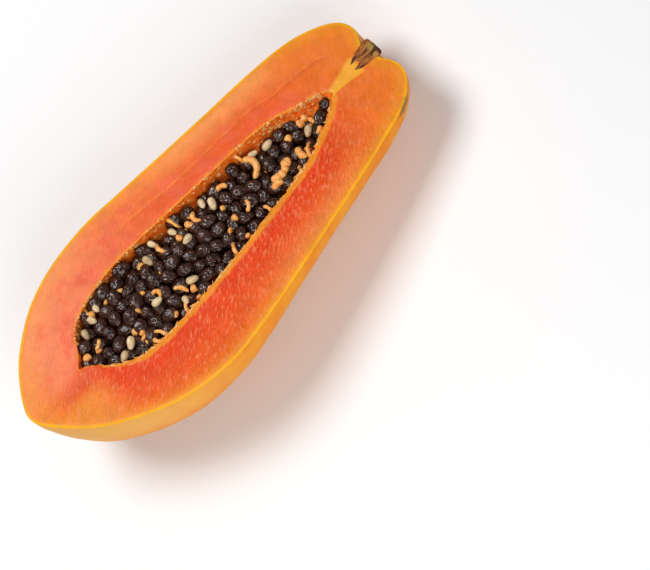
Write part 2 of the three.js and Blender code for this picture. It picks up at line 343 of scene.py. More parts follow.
def add_tube(bm: BMesh, path: Array, radii: Array, sides: int = 10) -> None:
    """Adds a closed tube along a path to a mesh with a grain.

    Args:
        bm: the mesh that takes the tube.
        path: points of its middle line.
        radii: its radius at each point of the path.
        sides: number of sides round it.
    """
    ends = np.concatenate((path[:1], path, path[-1:]))
    widths = np.concatenate(([0], radii, [0]))
    along = np.gradient(path, axis=0)
    along = np.concatenate((along[:1], along, along[-1:]))
    aside = np.cross(along, NO_TUBE_WAY)
    aside /= np.linalg.norm(aside, axis=1)[:, None]
    upward = np.cross(aside, along)
    upward /= np.linalg.norm(upward, axis=1)[:, None]
    run = np.concatenate(([0], np.cumsum(np.linalg.norm(np.diff(ends, axis=0), axis=1))))

    def placed(share: Array, round_share: Array) -> tuple[Array, Array, Array]:
        """Rings of the grid's points, and how far out and up from the path each lies."""
        ring = np.round(share * (len(ends) - 1)).astype(int)
        turn = round_share * 2 * math.pi
        return ring, widths[ring] * np.cos(turn), widths[ring] * np.sin(turn)

    def wrapped(share: Array, round_share: Array) -> Array:
        """Positions round the path."""
        ring, out, up = placed(share, round_share)
        return ends[ring] + out[:, None] * aside[ring] + up[:, None] * upward[ring]

    def grained(share: Array, round_share: Array) -> Array:
        """Places along the tube, moved so that each tube has grain of its own."""
        ring, out, up = placed(share, round_share)
        return np.stack((run[ring], out + 3 * path[0, 0], up + 3 * path[0, 1]), axis=1)

    add_patch(bm, len(ends) - 1, sides, wrapped, grain=grained)


def finish_mesh(name: str, bm: BMesh, weld_mm: float = WELD_MM) -> Mesh:
    """Welds a mesh's seams, turns its faces outwards and gives it smooth shading.

    Args:
        name: the mesh's name.
        bm: the mesh, which is used up.
        weld_mm: distance at which points are one.

    Returns:
        The finished mesh.
    """
    bmesh.ops.remove_doubles(bm, verts=bm.verts, dist=weld_mm)
    bmesh.ops.dissolve_degenerate(bm, edges=bm.edges, dist=weld_mm / 10)
    bmesh.ops.recalc_face_normals(bm, faces=bm.faces)
    for face in bm.faces:
        face.smooth = True
    mesh = bpy.data.meshes.new(name)
    bm.to_mesh(mesh)
    bm.free()
    return mesh


def finish_piece(name: str, bm: BMesh, placement: Placement, material: Material) -> Object:
    """Finishes a mesh drawn in the fruit's axes, places and dresses it.

    Args:
        name: the piece's name.
        bm: its mesh, which is used up.
        placement: where the fruit's axes lie.
        material: its finish.

    Returns:
        The piece's object.
    """
    mesh = finish_mesh(name, bm, FINE_WELD_MM)
    mesh.transform(placement.matrix())
    mesh.materials.append(material)
    return bpy.data.objects.new(name, mesh)


def read_vectors(mesh: Mesh, name: str) -> Array:
    """Reads a vector of each of a mesh's vertices.

    Args:
        mesh: the mesh.
        name: co for positions, or normal.

    Returns:
        One vector a row.
    """
    values = np.empty(len(mesh.vertices) * 3)
    mesh.vertices.foreach_get(name, values)
    return values.reshape(-1, 3)


def set_attribute(mesh: Mesh, name: str, values: Array) -> None:
    """Stores one number a vertex, which a material reads by name."""
    mesh.attributes.new(name, "FLOAT", "POINT").data.foreach_set("value", values.astype(np.float32))


class MaterialNodes:
    """A new material, and the shader nodes that its finish adds to it."""

    def __init__(self, name: str) -> None:
        """Starts the material."""
        self.material = bpy.data.materials.new(name)
        self.material.use_nodes = True
        self.tree = self.material.node_tree

    def _fill(self, node: Node, inputs: dict[str | int, object]) -> None:
        """Gives a node's inputs their values, or links them to other nodes' outputs.

        Args:
            node: the node.
            inputs: values and outputs, by the inputs' names or numbers.
        """
        for key, value in inputs.items():
            if isinstance(value, NodeSocket):
                self.tree.links.new(value, node.inputs[key])
            else:
                node.inputs[key].default_value = value

    def add(
        self,
        kind: str,
        inputs: dict[str | int, object] | None = None,
        output: str | int = 0,
        stops: Stops = (),
        **settings: object,
    ) -> NodeSocket:
        """Adds a node with its settings and links.

        Args:
            kind: the node's type, without the prefix that all shader nodes have.
            inputs: values, or other nodes' outputs, for the inputs named or numbered by key.
            output: name or number of the output that is wanted.
            stops: places and colours of a colour ramp.
            settings: properties of the node itself.

        Returns:
            The wanted output.
        """
        node = self.tree.nodes.new("ShaderNode" + kind)
        for key, value in settings.items():
            setattr(node, key, value)
        self._fill(node, inputs or {})
        for i, (place, colour) in enumerate(stops):
            ramp = node.color_ramp.elements
            stop = ramp[i] if i < 2 else ramp.new(place)
            stop.position = place
            stop.color = srgb(colour)
        return node.outputs[output]

    def paint(
        self, colour: NodeSocket, layers: Sequence[tuple[str | NodeSocket, str | NodeSocket]]
    ) -> NodeSocket:
        """Lays further tones over a colour.

        Args:
            colour: the colour underneath.
            layers: from the lowest one up, how much of a tone there is, as a node's output or the name
                of a mask that the mesh stores, and the tone, as a node's output or a hex colour.

        Returns:
            The painted colour.
        """
        for amount, tone in layers:
            if isinstance(amount, str):
                amount = self.add("Attribute", output="Fac", attribute_name=amount)
            if isinstance(tone, str):
                tone = srgb(tone)
            mixed = {"Factor": amount, MIX_BELOW: colour, MIX_ABOVE: tone}
            colour = self.add("Mix", mixed, MIX_RESULT, data_type="RGBA")
        return colour

    def surface(self, inputs: dict[str | int, object]) -> Material:
        """Sets the inputs of the surface shader, and gives the finished material."""
        self._fill(self.tree.nodes["Principled BSDF"], inputs)
        return self.material


@dataclass(frozen=True)
class SkinFinish:
    """Ripe papaya skin, thin, smooth and waxy: a deep gold with a soft, broken sheen."""

    gold: str = "#ec8404"
    light_gold: str = "#f09c18"
    pore: str = "#c07a1e"
    # The first layer is painted light: the flank is painted lighter towards the blossom tip and the cut,
    # where more light from the floor falls on it
    layers: Layers = (
        ("painted_floor_light", "#f3b85c"), ("unripe", "#b8a638"), ("blemish", "#86683a"), ("scar", "#4e3220"),
    )
    mottle_mm: float = 14.0
    pore_mm: float = 3.6  # distance between the skin's breathing pores
    dimples_a_metre: float = 900.0

    def build(self) -> Material:
        """Makes the material.

        Returns:
            The finished material.
        """
        nodes = MaterialNodes("papaya_skin_waxy")
        where = nodes.add("TexCoord", output="Object")
        mottle = nodes.add(
            "TexNoise", {"Vector": where, "Scale": 1000 / self.mottle_mm, "Detail": 5.0, "Roughness": 0.6}
        )
        golds = ((0.38, self.gold), (0.66, self.light_gold))
        colour = nodes.add("ValToRGB", {"Fac": mottle}, stops=golds)
        pores = nodes.add("TexVoronoi", {"Vector": where, "Scale": 1000 / self.pore_mm})
        pore = nodes.add(
            "MapRange", {"Value": pores, "From Min": 0.06, "From Max": 0.13, "To Min": 0.3, "To Max": 0.0}
        )
        dimples = nodes.add("TexNoise", {"Vector": where, "Scale": self.dimples_a_metre, "Detail": 3.0})
        surface = {
            "Base Color": nodes.paint(colour, ((pore, self.pore), *self.layers)),
            "Normal": nodes.add("Bump", {"Height": dimples, "Strength": 0.25, "Distance": 0.0003}),
            "Roughness": 0.48,
            "Specular IOR Level": 0.14,
            "Subsurface Weight": 0.1,
            "Subsurface Radius": (1.0, 0.5, 0.15),
            "Subsurface Scale": 0.0015,
        }
        return nodes.surface(surface)


@dataclass(frozen=True)
class FleshFinish:
    """Ripe papaya flesh cut with a knife: orange to red, moist, with pale fibres that run one way."""

    # Tones from the skin to the cavity. The left side's are paler than the right side's: painted sheen,
    # where light glances off the wet cut on the left
    left_stops: Stops = ((0.0, "#ee8c30"), (0.3, "#ea7028"), (0.75, "#e65a20"), (1.0, "#e65a1e"))
    right_stops: Stops = (
        (0.0, "#ee9018"), (0.14, "#e86e10"), (0.3, "#e6580c"), (0.7, "#e24008"), (1.0, "#e03a02"),
    )
    # The first layer is painted sheen: paler, pinker flesh towards the tip on the left, where light glances
    # off the wet cut
    layers: Layers = (
        ("painted_sheen", "#ee8254"), ("blush", "#e8603e"), ("outer", "#f29a54"), ("lobe", "#e97c1e"),
        ("gold", "#ea8a1e"), ("shade", "#d8561a"), ("vein", "#f0a03c"), ("rim", "#ec8e1c"),
        ("neck", "#f2b232"), ("peel", "#f4b016"), ("blemish", "#8c6c36"),
    )
    fibre: str = "#f28e5c"
    fibre_mm: Triple = (3.0, 1.05, 1.6)
    mottle_mm: float = 7.0
    cell_mm: float = 1.1

    def build(self) -> Material:
        """Makes the material.

        Returns:
            The finished material.
        """
        nodes = MaterialNodes("papaya_flesh_cut_wet")
        where = nodes.add("TexCoord", output="Object")
        across, fibrous = (
            nodes.add("Attribute", output="Fac", attribute_name=name) for name in ("across", "fibrous")
        )
        left, right = (
            nodes.add("ValToRGB", {"Fac": across}, stops=stops)
            for stops in (self.left_stops, self.right_stops)
        )
        fibres = self._add_fibres(nodes, where)
        threads = nodes.add(
            "MapRange",
            {"Value": fibres, "From Min": 0.52, "From Max": 0.74, "To Min": 0.0, "To Max": fibrous},
        )
        colour = nodes.paint(left, (("rightness", right), *self.layers, (threads, self.fibre)))
        mottle = nodes.add(
            "TexNoise", {"Vector": where, "Scale": 1000 / self.mottle_mm, "Detail": 4.0, "Roughness": 0.6}
        )
        lightness = nodes.add(
            "MapRange", {"Value": mottle, "From Min": 0.3, "From Max": 0.7, "To Min": 0.9, "To Max": 1.08}
        )
        cells = nodes.add(
            "TexNoise", {"Vector": where, "Scale": 1000 / self.cell_mm, "Detail": 3.0, "Roughness": 0.65}
        )
        rows = nodes.add("Bump", {"Height": fibres, "Strength": fibrous, "Distance": 0.0012})
        relief = nodes.add("Bump", {"Height": cells, "Strength": 0.4, "Distance": 0.0004, "Normal": rows})
        # The juice between the cells is glossier than they are
        gloss = nodes.add(
            "MapRange", {"Value": cells, "From Min": 0.35, "From Max": 0.65, "To Min": 0.3, "To Max": 0.5}
        )
        surface = {
            "Base Color": nodes.add("HueSaturation", {"Color": colour, "Value": lightness}),
            "Normal": relief,
            "Roughness": gloss,
            "Specular IOR Level": 0.16,
            "Subsurface Weight": 0.15,
            "Subsurface Radius": (1.0, 0.3, 0.1),
            "Subsurface Scale": 0.002,
        }
        return nodes.surface(surface)

    def _add_fibres(self, nodes: MaterialNodes, where: NodeSocket) -> NodeSocket:
        """Adds the pattern of fibres.

        Args:
            nodes: the material's nodes.
            where: the places that it is drawn at.

        Returns:
            The pattern's height.
        """
        drawn_out = {
            "Vector": where,
            "Rotation": (0, 0, math.radians(FIBRE_TURN_DEG)),
            "Scale": tuple(size / 1000 for size in self.fibre_mm),
        }
        along = nodes.add("Mapping", drawn_out, vector_type="TEXTURE")
        return nodes.add("TexNoise", {"Vector": along, "Scale": 1.0, "Detail": 2.0, "Roughness": 0.45})


@dataclass(frozen=True)
class MoistFinish:
    """A natural surface of two mixed tones, whose grain bumps it and breaks its highlights."""

    name: str
    dark: str
    light: str
    grain_mm: Triple
    roughness: float
    bump_mm: float = 0.3
    subsurface: float = 0.0
    coat: float = 0.0
    specular: float = 0.5
    follows: bool = True  # whether the grain follows each seed or strand, or the whole piece
    detail: float = 4.0
    layers: Layers = ()

    def build(self) -> Material:
        """Makes the material.

        Returns:
            The finished material.
        """
        nodes = MaterialNodes(self.name)
        if self.follows:
            where = nodes.add("Attribute", output="Vector", attribute_name="grain")
        else:
            where = nodes.add("TexCoord", output="Object")
        sizes = tuple(size / 1000 for size in self.grain_mm)
        scaled = nodes.add("Mapping", {"Vector": where, "Scale": sizes}, vector_type="TEXTURE")
        grain = nodes.add(
            "TexNoise", {"Vector": scaled, "Scale": 1.0, "Detail": self.detail, "Roughness": 0.6}
        )
        tones = ((0.36, self.dark), (0.64, self.light))
        bump = {"Height": grain, "Strength": 0.8, "Distance": self.bump_mm / 1000}
        surface = {
            "Base Color": nodes.paint(nodes.add("ValToRGB", {"Fac": grain}, stops=tones), self.layers),
            "Normal": nodes.add("Bump", bump),
            "Roughness": self.roughness,
            "Specular IOR Level": self.specular,
            "Subsurface Weight": self.subsurface,
            "Subsurface Radius": (1.0, 0.45, 0.15),
            "Subsurface Scale": 0.0015,
            "Coat Weight": self.coat,
            "Coat Roughness": 0.2,
        }
        return nodes.surface(surface)


# Cavity wall: soft, stringy placenta, deep orange and glistening
LINING = MoistFinish(
    "papaya_cavity_wall_wet", "#ee5a0a", "#fc8a2c", (2.2, 2.2, 2.2),
    roughness=0.45, bump_mm=0.35, subsurface=0.4, specular=0.25, follows=False,
)
# Seeds: black-brown and glossy, in a thin wet skin that is greyer and more filmy on some of them
SEED = MoistFinish(
    "papaya_seed_wet", "#0e0503", "#4c2614", (2.5, 1.0, 1.0),
    roughness=0.2, bump_mm=0.5, coat=0.3, detail=2.2, layers=(("film", "#4a2c24"),),
)
# Seeds that lie deeper: the same seeds, painted darker as shade, since less light reaches them down in the
# gaps between the top ones
SHADED_PACKED = MoistFinish(
    "papaya_seed_packed_shade", "#0f0806", "#241610", (1.6, 1.6, 1.6), roughness=0.5, follows=False
)
# Unripe seeds: cream and waxy, with fine grooves from end to end
PALE_SEED = MoistFinish(
    "papaya_seed_unripe_waxy", "#c4a06c", "#f4e2b8", (3.0, 0.5, 0.5),
    roughness=0.42, bump_mm=0.25, subsurface=0.25, layers=(("film", "#8c5c34"),),
)
# Placenta: strands and crumbs of it, light orange, moist and fibrous
PLACENTA = MoistFinish(
    "papaya_placenta_fibrous", "#ee8c22", "#fec67a", (2.2, 0.8, 0.8),
    roughness=0.4, bump_mm=0.35, subsurface=0.3,
)
# Beads of placenta on the wall: like drops of pale orange jelly
BEAD = MoistFinish(
    "papaya_placenta_bead_jelly", "#f08428", "#ffc07a", (1.6, 1.6, 1.6),
    roughness=0.3, bump_mm=0.05, subsurface=0.4, coat=0.15,
)
# Stalk: dried, corky and fibrous, dull brown, darker at its foot, at the right of its end and in patches
# along its fibres
STALK = MoistFinish(
    "papaya_stalk_dried", "#6c3412", "#c67e42", (3.2, 0.55, 0.55),
    roughness=0.8, bump_mm=0.6, specular=0.2, layers=(("darkened", "#38211a"), ("fresh", "#b89c4c")),
)


class FruitSlot(Enum):
    """Material slots of the fruit's body."""

    SKIN = 0
    FLESH = 1
    LINING = 2


@dataclass(frozen=True)
class SkinMarks:
    """Tones of the skin. A pair gives the two places that a tone grows between, in millimetres."""

    # Painted light from the floor on the flank, lighter towards the blossom tip and the cut
    painted_floor_light: Spans = ((105, 25), (-34, -8))  # along the fruit, and out of the cut
    unripe_height: Pair = (-24, -46)
    blemish_at: Triple = (217, -31.5, -2.6)
    blemish_half: Pair = (6.6, 3.0)  # half its length and width, along the skin's edge
    blemish_turn_deg: float = 32.0
    scar_at: Triple = (2.2, -4.5, -15)
    scar_radius: float = 1.5

    def masks(self, points: Array) -> dict[str, Array]:
        """Draws the tones.

        Args:
            points: positions in the fruit's axes, one a row.

        Returns:
            Each tone's mask by the name that the skin's finish reads.
        """
        x, _, z = points.T
        patches = smooth(-0.1, 0.5, noise_at(points, 11, 2.6))
        return {
            # painted light: lighter towards the blossom tip and the cut, where the floor throws more light
            # on the flank
            "painted_floor_light": 0.75 * in_both(self.painted_floor_light, x, z),
            "unripe": 0.6 * smooth(*self.unripe_height, z) * patches,
            "blemish": 0.9 * self._blemish(points),
            "scar": 0.95 * self._scar(points),
        }

    def _blemish(self, points: Array) -> Array:
        """Draws a long scuff on the skin with a ragged edge.

        Args:
            points: positions, one a row.

        Returns:
            Amounts from 1 in its middle to 0 outside.
        """
        gap = points - np.array(self.blemish_at)
        along, across = turned(gap[:, 0], gap[:, 1], self.blemish_turn_deg)
        away = np.hypot(along / self.blemish_half[0], np.hypot(across, gap[:, 2]) / self.blemish_half[1])
        return smooth(1.15, 0.6, away + 0.35 * noise_at(points, 1.6, 5.2))

    def _scar(self, points: Array) -> Array:
        """The corky dot that the blossom left, from 1 in its middle to 0 outside."""
        away = np.linalg.norm(points - np.array(self.scar_at), axis=1)
        return smooth(1.15, 0.55, away / self.scar_radius + 0.5 * noise_at(points, 1.0, 1.3))


@dataclass
class CutPlaces:
    """Where points lie on the cut face: along it, from the skin's edge and from the cavity's rim."""

    points: Array
    from_skin: Array
    from_rim: Array

    def __post_init__(self) -> None:
        """Works out what several tones read."""
        self.x, self.y, _ = self.points.T
        self.left = smooth(-1, 1, self.y)
        self.across = self.from_skin / np.maximum(self.from_skin + self.from_rim, TINY)
        self.wobble = noise_at(self.points, 9, 3.1)


@dataclass(frozen=True)
class CutMarks:
    """Tones of the cut flesh. A pair gives the two places that a tone grows between, in millimetres."""

    flushed_along: Pair = (178, 200)
    # Painted sheen: paler, pinker flesh towards the tip on the left, where light glances off the wet cut
    sheen_tip: Spans = ((118, 45), (-14, 8))  # along the fruit, and to its left
    pale_amounts: Pair = (0.35, 0.75)  # of the outer flesh, right and left
    pale_flank: Spans = ((95, 145), (200, 180))  # grows along the fruit, then fades again
    pale_foot: Spans = ((85, 55), (2, 10))
    pale_corner: Spans = ((42, 24), (-8, -16))
    lobe_along: Pair = (172, 214)
    fibre_foot: Pair = (130, 90)
    fibre_end: Pair = (188, 208)
    vessels_along: Spans = ((82, 100), (213, 207))
    vessel_steps: int = 400
    gold_widths: Pair = (4.0, 2.4)  # of the golden flesh under the skin, right and left
    gold_swell: float = 4.0  # how much wider it is by the stem
    gold_swell_along: Pair = (185, 208)
    gold_foot: Pair = (24, 5)
    gold_corner: Spans = ((44, 20), (-5, -16))
    rim_widths: Pair = (3.2, 1.0)  # of the placenta left on the right rim and on the left one
    rim_along: Pair = (31, 60)
    neck_along: Spans = ((196, 201), (218.5, 217))
    neck_half: Outline = ((200, 1.3), (207, 2.6), (216, 4.6))

    def masks(self, at: CutPlaces) -> dict[str, Array]:
        """Draws the tones.

        Args:
            at: where the points lie.

        Returns:
            Each tone's mask by the name that the flesh's finish reads.
        """
        tones = {"across": at.across, "rim": self._rim(at)}
        return tones | self._soft_tones(at) | self._thread_tones(at) | self._edge_tones(at)

    def _soft_tones(self, at: CutPlaces) -> dict[str, Array]:
        """Draws the tones that blend into each other: redder and paler flesh, a painted sheen towards the
        tip on the left, and the stem's lobes.

        Args:
            at: where the points lie.

        Returns:
            The tones' masks by name.
        """
        blotches = noise_at(at.points, 9, 6.2) + 0.6 * noise_at(at.points, 3.2, 11.5)
        flushed = np.maximum(at.left, smooth(*self.flushed_along, at.x))
        outer = smooth(0.6, 0.1, at.across)
        amount = np.interp(at.left, (0, 1), self.pale_amounts)
        flank = amount * outer * in_both(self.pale_flank, at.x, at.x)
        foot = outer * in_both(self.pale_foot, at.x, at.y)
        corner = in_both(self.pale_corner, at.x, at.y)
        return {
            # the right side takes its redder tones; the left side's paler tones are painted sheen
            "rightness": smooth(-4, 5, -at.y + 0.6 * at.wobble),
            # painted sheen, paler and pinker towards the tip on the left
            "painted_sheen": 0.85 * in_both(self.sheen_tip, at.x, at.y + 4 * at.wobble),
            "blush": 0.75 * flushed * smooth(-0.15, 0.45, blotches) * smooth(0.15, 0.4, at.across),
            "outer": np.maximum(flank, 0.5 * np.maximum(foot, corner)),
            "lobe": 0.7 * smooth(*self.lobe_along, at.x + 3 * at.wobble),
        }

    def _thread_tones(self, at: CutPlaces) -> dict[str, Array]:
        """Draws the fibres, and the opened vessels with the shade beside them.

        Args:
            at: where the points lie.

        Returns:
            The tones' masks by name.
        """
        gap, plain = self.from_vessels(at.points)
        broken = 0.25 + 0.75 * smooth(-0.3, 0.3, noise_at(at.points, 5, 8.7))
        fibrous = 0.7 + (0.14 + 0.16 * smooth(*self.fibre_foot, at.x) - 0.7) * at.left
        fibrous *= 1 - 0.65 * smooth(*self.fibre_end, at.x)
        return {
            "fibrous": fibrous * smooth(0.8, 3, at.from_skin),
            "vein": 0.42 * np.exp(-(((gap - 0.15) / 0.36) ** 2)) * broken * plain,
            "shade": 0.6 * smooth(-3.2, -0.4, gap) * smooth(0.1, -0.4, gap) * plain,
        }

    def _edge_tones(self, at: CutPlaces) -> dict[str, Array]:
        """Draws the peel's edge, the golden flesh under it, and the neck that runs from the stalk.

        Args:
            at: where the points lie.

        Returns:
            The tones' masks by name.
        """
        width = np.interp(at.left, (0, 1), self.gold_widths)
        width = width + self.gold_swell * smooth(*self.gold_swell_along, at.x)
        under_skin = 1 - smooth(0.15, 1.0, (at.from_skin - 0.8) / width)
        corner = 0.75 * in_both(self.gold_corner, at.x, at.y)
        golden_tip = np.maximum(0.6 * smooth(*self.gold_foot, at.x), corner)
        half = np.interp(at.x, *zip(*self.neck_half))
        in_neck = in_both(self.neck_along, at.x, at.x)
        neck_line = np.exp(-(((at.y + half - 0.2) / 0.45) ** 2)) * in_neck
        peel = 1 - smooth(0.6, 1.5, at.from_skin + 0.25 * at.wobble)
        return {
            "gold": np.maximum(0.85 * under_skin, golden_tip),
            "neck": 0.8 * in_neck * smooth(half + 1.1, half - 0.9, abs(at.y + 0.5 * at.wobble)),
            "peel": np.maximum(peel, 0.8 * neck_line),
        }

    def _rim(self, at: CutPlaces) -> Array:
        """Draws the ragged band of placenta along the rims.

        Args:
            at: where the points lie.

        Returns:
            Amount of it at each point.
        """
        ragged = noise_at(at.points, 2.4, 14.2)
        width = np.interp(at.left, (0, 1), self.rim_widths) * smooth(*self.rim_along, at.x)
        return 1 - smooth(0.7, 1.25, (at.from_rim + 0.9 * ragged) / np.maximum(width, 0.3))

    def from_vessels(self, points: Array) -> tuple[Array, Array]:
        """Finds the opened bundle of vessels.

        Args:
            points: positions in the fruit's axes, one a row.

        Returns:
            How far out each point lies from the vessels, and how plain they are there.
        """
        x, y = points[:, 0], points[:, 1]
        line = smooth_path(VASCULAR_LINE, np.linspace(0, 1, self.vessel_steps))
        gap = y + 0.35 * noise_at(points, 7, 3.1) - np.interp(x, line[:, 0], line[:, 1])
        return gap, in_both(self.vessels_along, x, x) * (y > 0)


@dataclass
class Fruit:
    """Skin, cut flesh and the cavity's wall, as one closed body."""

    placement: Placement
    stations: int = 250
    round_steps: int = 96
    across_steps: int = 64
    lining_steps: int = 56
    edge_steps: int = 1400  # points on an edge that distances are taken from
    lobe_height: float = 0.5
    lobes: int = 5
    lobe_along: Spans = ((0, 50), (222, 190))  # the ridges grow from the tip and fade to the stem
    lobe_axis_aside: float = -3.6  # place of the axis that they stand round, to the fruit's left
    dent_depth: float = 1.5
    dent_radius: float = 7.5
    pucker: float = 0.12  # how far the dent's edge is drawn in between the ridges, as a share
    dimple_heights: Pair = (0.16, 0.05)  # of wide dimples and narrow ones
    dimple_sizes: Pair = (16, 4)
    proud: float = 0.1  # furthest that the skin stands out
    torn: Pair = (0.35, 1.0)  # how far the knife has torn the left rim and the right one
    torn_reach: float = 2.2
    wall_lumps: float = 1.1
    wave_height: float = 0.14
    wave_size: float = 6.5
    cut_rows: Triple = (4.5, 1.5, 1.0)  # size of the fibres' bumps: along them, across and down
    rim_roll: Pair = (0.45, 1.1)  # drop of the cut's edge at the cavity, and how far in it starts
    skin_roll: Pair = (0.3, 0.55)  # the same at the skin
    cut_drop: float = 0.12  # keeps the waves of the cut below the plane of the cut
    edge_drop: float = 0.42  # of the skin's edge, which dries back from the cut
    edge_reach: float = 0.6  # how far down the skin that starts
    vein_step: float = 0.35  # how far the flesh drops at the opened bundle of vessels
    crease_deg: float = 62.0  # edges sharper than this stay sharp
    cut_marks: CutMarks = CutMarks()
    skin_marks: SkinMarks = SkinMarks()

    def build(self) -> Object:
        """Builds the body and gives it its finishes.

        Returns:
            The body's object.
        """
        mesh = self._blank()
        points, normals = read_vectors(mesh, "co"), read_vectors(mesh, "normal")
        on = self._regions(mesh)
        edges = self._edge_distances(points, on[FruitSlot.FLESH])
        masks = self.cut_marks.masks(CutPlaces(points, *edges)) | self.skin_marks.masks(points)
        for name, values in masks.items():
            set_attribute(mesh, name, values)
        shaped = self._weathered(points, normals, on, edges)
        mesh.vertices.foreach_set("co", shaped.ravel())
        mesh.transform(self.placement.matrix())
        # The back is pressed flat where it rests
        for vert in mesh.vertices:
            vert.co.z = max(vert.co.z, 0.0)
        mesh.set_sharp_from_angle(angle=math.radians(self.crease_deg))
        for finish in (SkinFinish(), FleshFinish(), LINING):
            mesh.materials.append(finish.build())
        return bpy.data.objects.new("fruit", mesh)

    def _rim_share(self, share: Array) -> Array:
        """Place along a rim that faces a place along the skin's edge."""
        skin, rim = np.array(RIM_MATCH).T
        return np.interp(share * (len(LEFT_EDGE) - 1), skin, rim) / (len(LEFT_RIM) - 1)

    def _blank(self) -> Mesh:
        """Makes the body before its surface is roughened: four patches welded along their edges.

        Returns:
            The body's mesh.
        """

        def skin(share: Array, turn_share: Array) -> Array:
            """Positions on the skin."""
            return SKIN_SURFACE.points(share, turn_share * math.pi)

        def lining(share: Array, turn_share: Array) -> Array:
            """Positions on the cavity's wall."""
            return CAVITY_SURFACE.points(self._rim_share(share), turn_share * math.pi)

        def cut(side: float) -> PatchShape:
            """Shapes the cut face on one side of the cavity.

            Args:
                side: 0 for the left and 1 for the right.

            Returns:
                A function that gives positions on the face.
            """

            def patch(share: Array, across: Array) -> Array:
                """Positions between the skin and the cavity."""
                sides = np.full(len(share), side)
                outer = skin(share, sides)
                return outer + (lining(share, sides) - outer) * across[:, None]

            return patch

        bm = bmesh.new()
        add_patch(bm, self.stations, self.round_steps, skin, FruitSlot.SKIN.value)
        add_patch(bm, self.stations, self.lining_steps, lining, FruitSlot.LINING.value)
        for side in (0.0, 1.0):
            add_patch(bm, self.stations, self.across_steps, cut(side), FruitSlot.FLESH.value)
        return finish_mesh("fruit", bm)

    def _regions(self, mesh: Mesh) -> dict[FruitSlot, Array]:
        """Finds which vertices each material touches.

        Args:
            mesh: the body's mesh.

        Returns:
            For each slot, whether each vertex is on it.
        """
        on = {slot: np.zeros(len(mesh.vertices), dtype=bool) for slot in FruitSlot}
        for face in mesh.polygons:
            on[FruitSlot(face.material_index)][list(face.vertices)] = True
        return on

    def _edge_distances(self, points: Array, on_cut: Array) -> list[Array]:
        """Measures how far points of the cut face lie from its two edges.

        Args:
            points: positions, one a row.
            on_cut: which of them are on the cut face.

        Returns:
            Their distances from the skin, and those from the cavity's rim, with 0 off the cut face.
        """
        share = np.linspace(0, 1, self.edge_steps)
        distances = []
        for left, right in ((LEFT_EDGE, RIGHT_EDGE), (LEFT_RIM, RIGHT_RIM)):
            line = np.concatenate((smooth_path(left, share), smooth_path(right, share) * (1, -1)))
            distance = np.zeros(len(points))
            distance[on_cut] = nearest(points[on_cut], line)
            distances.append(distance)
        return distances

    def _weathered(
        self,
        points: Array,
        normals: Array,
        on: dict[FruitSlot, Array],
        edges: Sequence[Array],
    ) -> Array:
        """Roughens the body's surfaces as knife, growth and ripening leave them.

        Args:
            points: positions, one a row.
            normals: the surface's direction at each of them.
            on: which points each material touches.
            edges: their distances from the skin and from the cavity's rim.

        Returns:
            The roughened positions.
        """
        shaped = points.copy()
        cut, skin, lining = on[FruitSlot.FLESH], on[FruitSlot.SKIN], on[FruitSlot.LINING]
        from_rim = np.where(cut, edges[1], -points[:, 2])
        near_rim = np.exp(-((from_rim / self.torn_reach) ** 2)) * (cut | lining)
        torn = np.where(points[:, 1] < 0, self.torn[1], self.torn[0])
        for axis, shift in ((0, 11.3), (1, 17.9)):
            shaped[:, axis] += torn * near_rim * noise_at(points, 2.8, shift)
        shaped[cut, 2] += self._cut_relief(points, *edges)[cut] - self.cut_drop
        inner = lining & ~cut
        lumps = abs(noise_at(points[inner], (3.6, 2.6, 2.6), 4.4)) + 0.5 * noise_at(points[inner], 1.3, 7.7)
        shaped[inner] += normals[inner] * (self.wall_lumps * lumps * (1 - near_rim[inner]))[:, None]
        outer = skin & ~cut
        shaped[outer] += normals[outer] * self._skin_relief(points[outer])[:, None]
        shaped[outer, 2] -= self.edge_drop * np.exp(points[outer, 2] / self.edge_reach)
        return shaped

    def _cut_relief(self, points: Array, from_skin: Array, from_rim: Array) -> Array:
        """Raises and lowers the cut face: fibres, soft waves, rolled edges and the opened vessels.

        Args:
            points: positions, one a row.
            from_skin: distance of each from the skin's edge.
            from_rim: distance of each from the cavity's rim.

        Returns:
            The height of each.
        """
        rows = np.stack((*turned(points[:, 0], points[:, 1], FIBRE_TURN_DEG), points[:, 2]), axis=1)
        waves = self.wave_height * noise_at(points, self.wave_size, 2.2)
        waves += self.wave_height * noise_at(rows, self.cut_rows, 6.6)
        gap, plain = self.cut_marks.from_vessels(points)
        dropped = self.vein_step * smooth(0.35, -0.35, gap) * smooth(-9, -0.5, gap) * plain
        torn = 0.35 * smooth(3, 0, from_rim) * noise_at(points, 1.7, 12.4)
        rolled = self.rim_roll[0] * np.exp(-((from_rim / self.rim_roll[1]) ** 2))
        rolled += self.skin_roll[0] * np.exp(-((from_skin / self.skin_roll[1]) ** 2))
        inside = smooth(0, 1, from_skin) * smooth(0, 1, from_rim)
        return (waves + torn - dropped) * inside - rolled

    def _skin_relief(self, points: Array) -> Array:
        """Raises and lowers the skin: low ridges, soft dimples and the blossom's dent.

        Args:
            points: positions, one a row.

        Returns:
            How far each stands out.
        """
        turn = np.arctan2(-points[:, 2], points[:, 1] - self.lobe_axis_aside)
        fade = np.sin(turn) * in_both(self.lobe_along, points[:, 0], points[:, 0])
        ridges = -self.lobe_height * fade * np.cos(self.lobes * (turn - math.pi / 2))
        gap = points - np.array(self.skin_marks.scar_at)
        away = np.linalg.norm(gap, axis=1) / self.dent_radius
        pucker = self.pucker * np.cos(self.lobes * np.arctan2(gap[:, 2], gap[:, 1]))
        dent = self.dent_depth * (1 - smooth(0, 1, away * (1 + pucker)))
        dimples = self.dimple_heights[0] * noise_at(points, self.dimple_sizes[0], 9.1)
        dimples += self.dimple_heights[1] * noise_at(points, self.dimple_sizes[1], 1.9)
        return ridges - dent + np.minimum(dimples, self.proud)


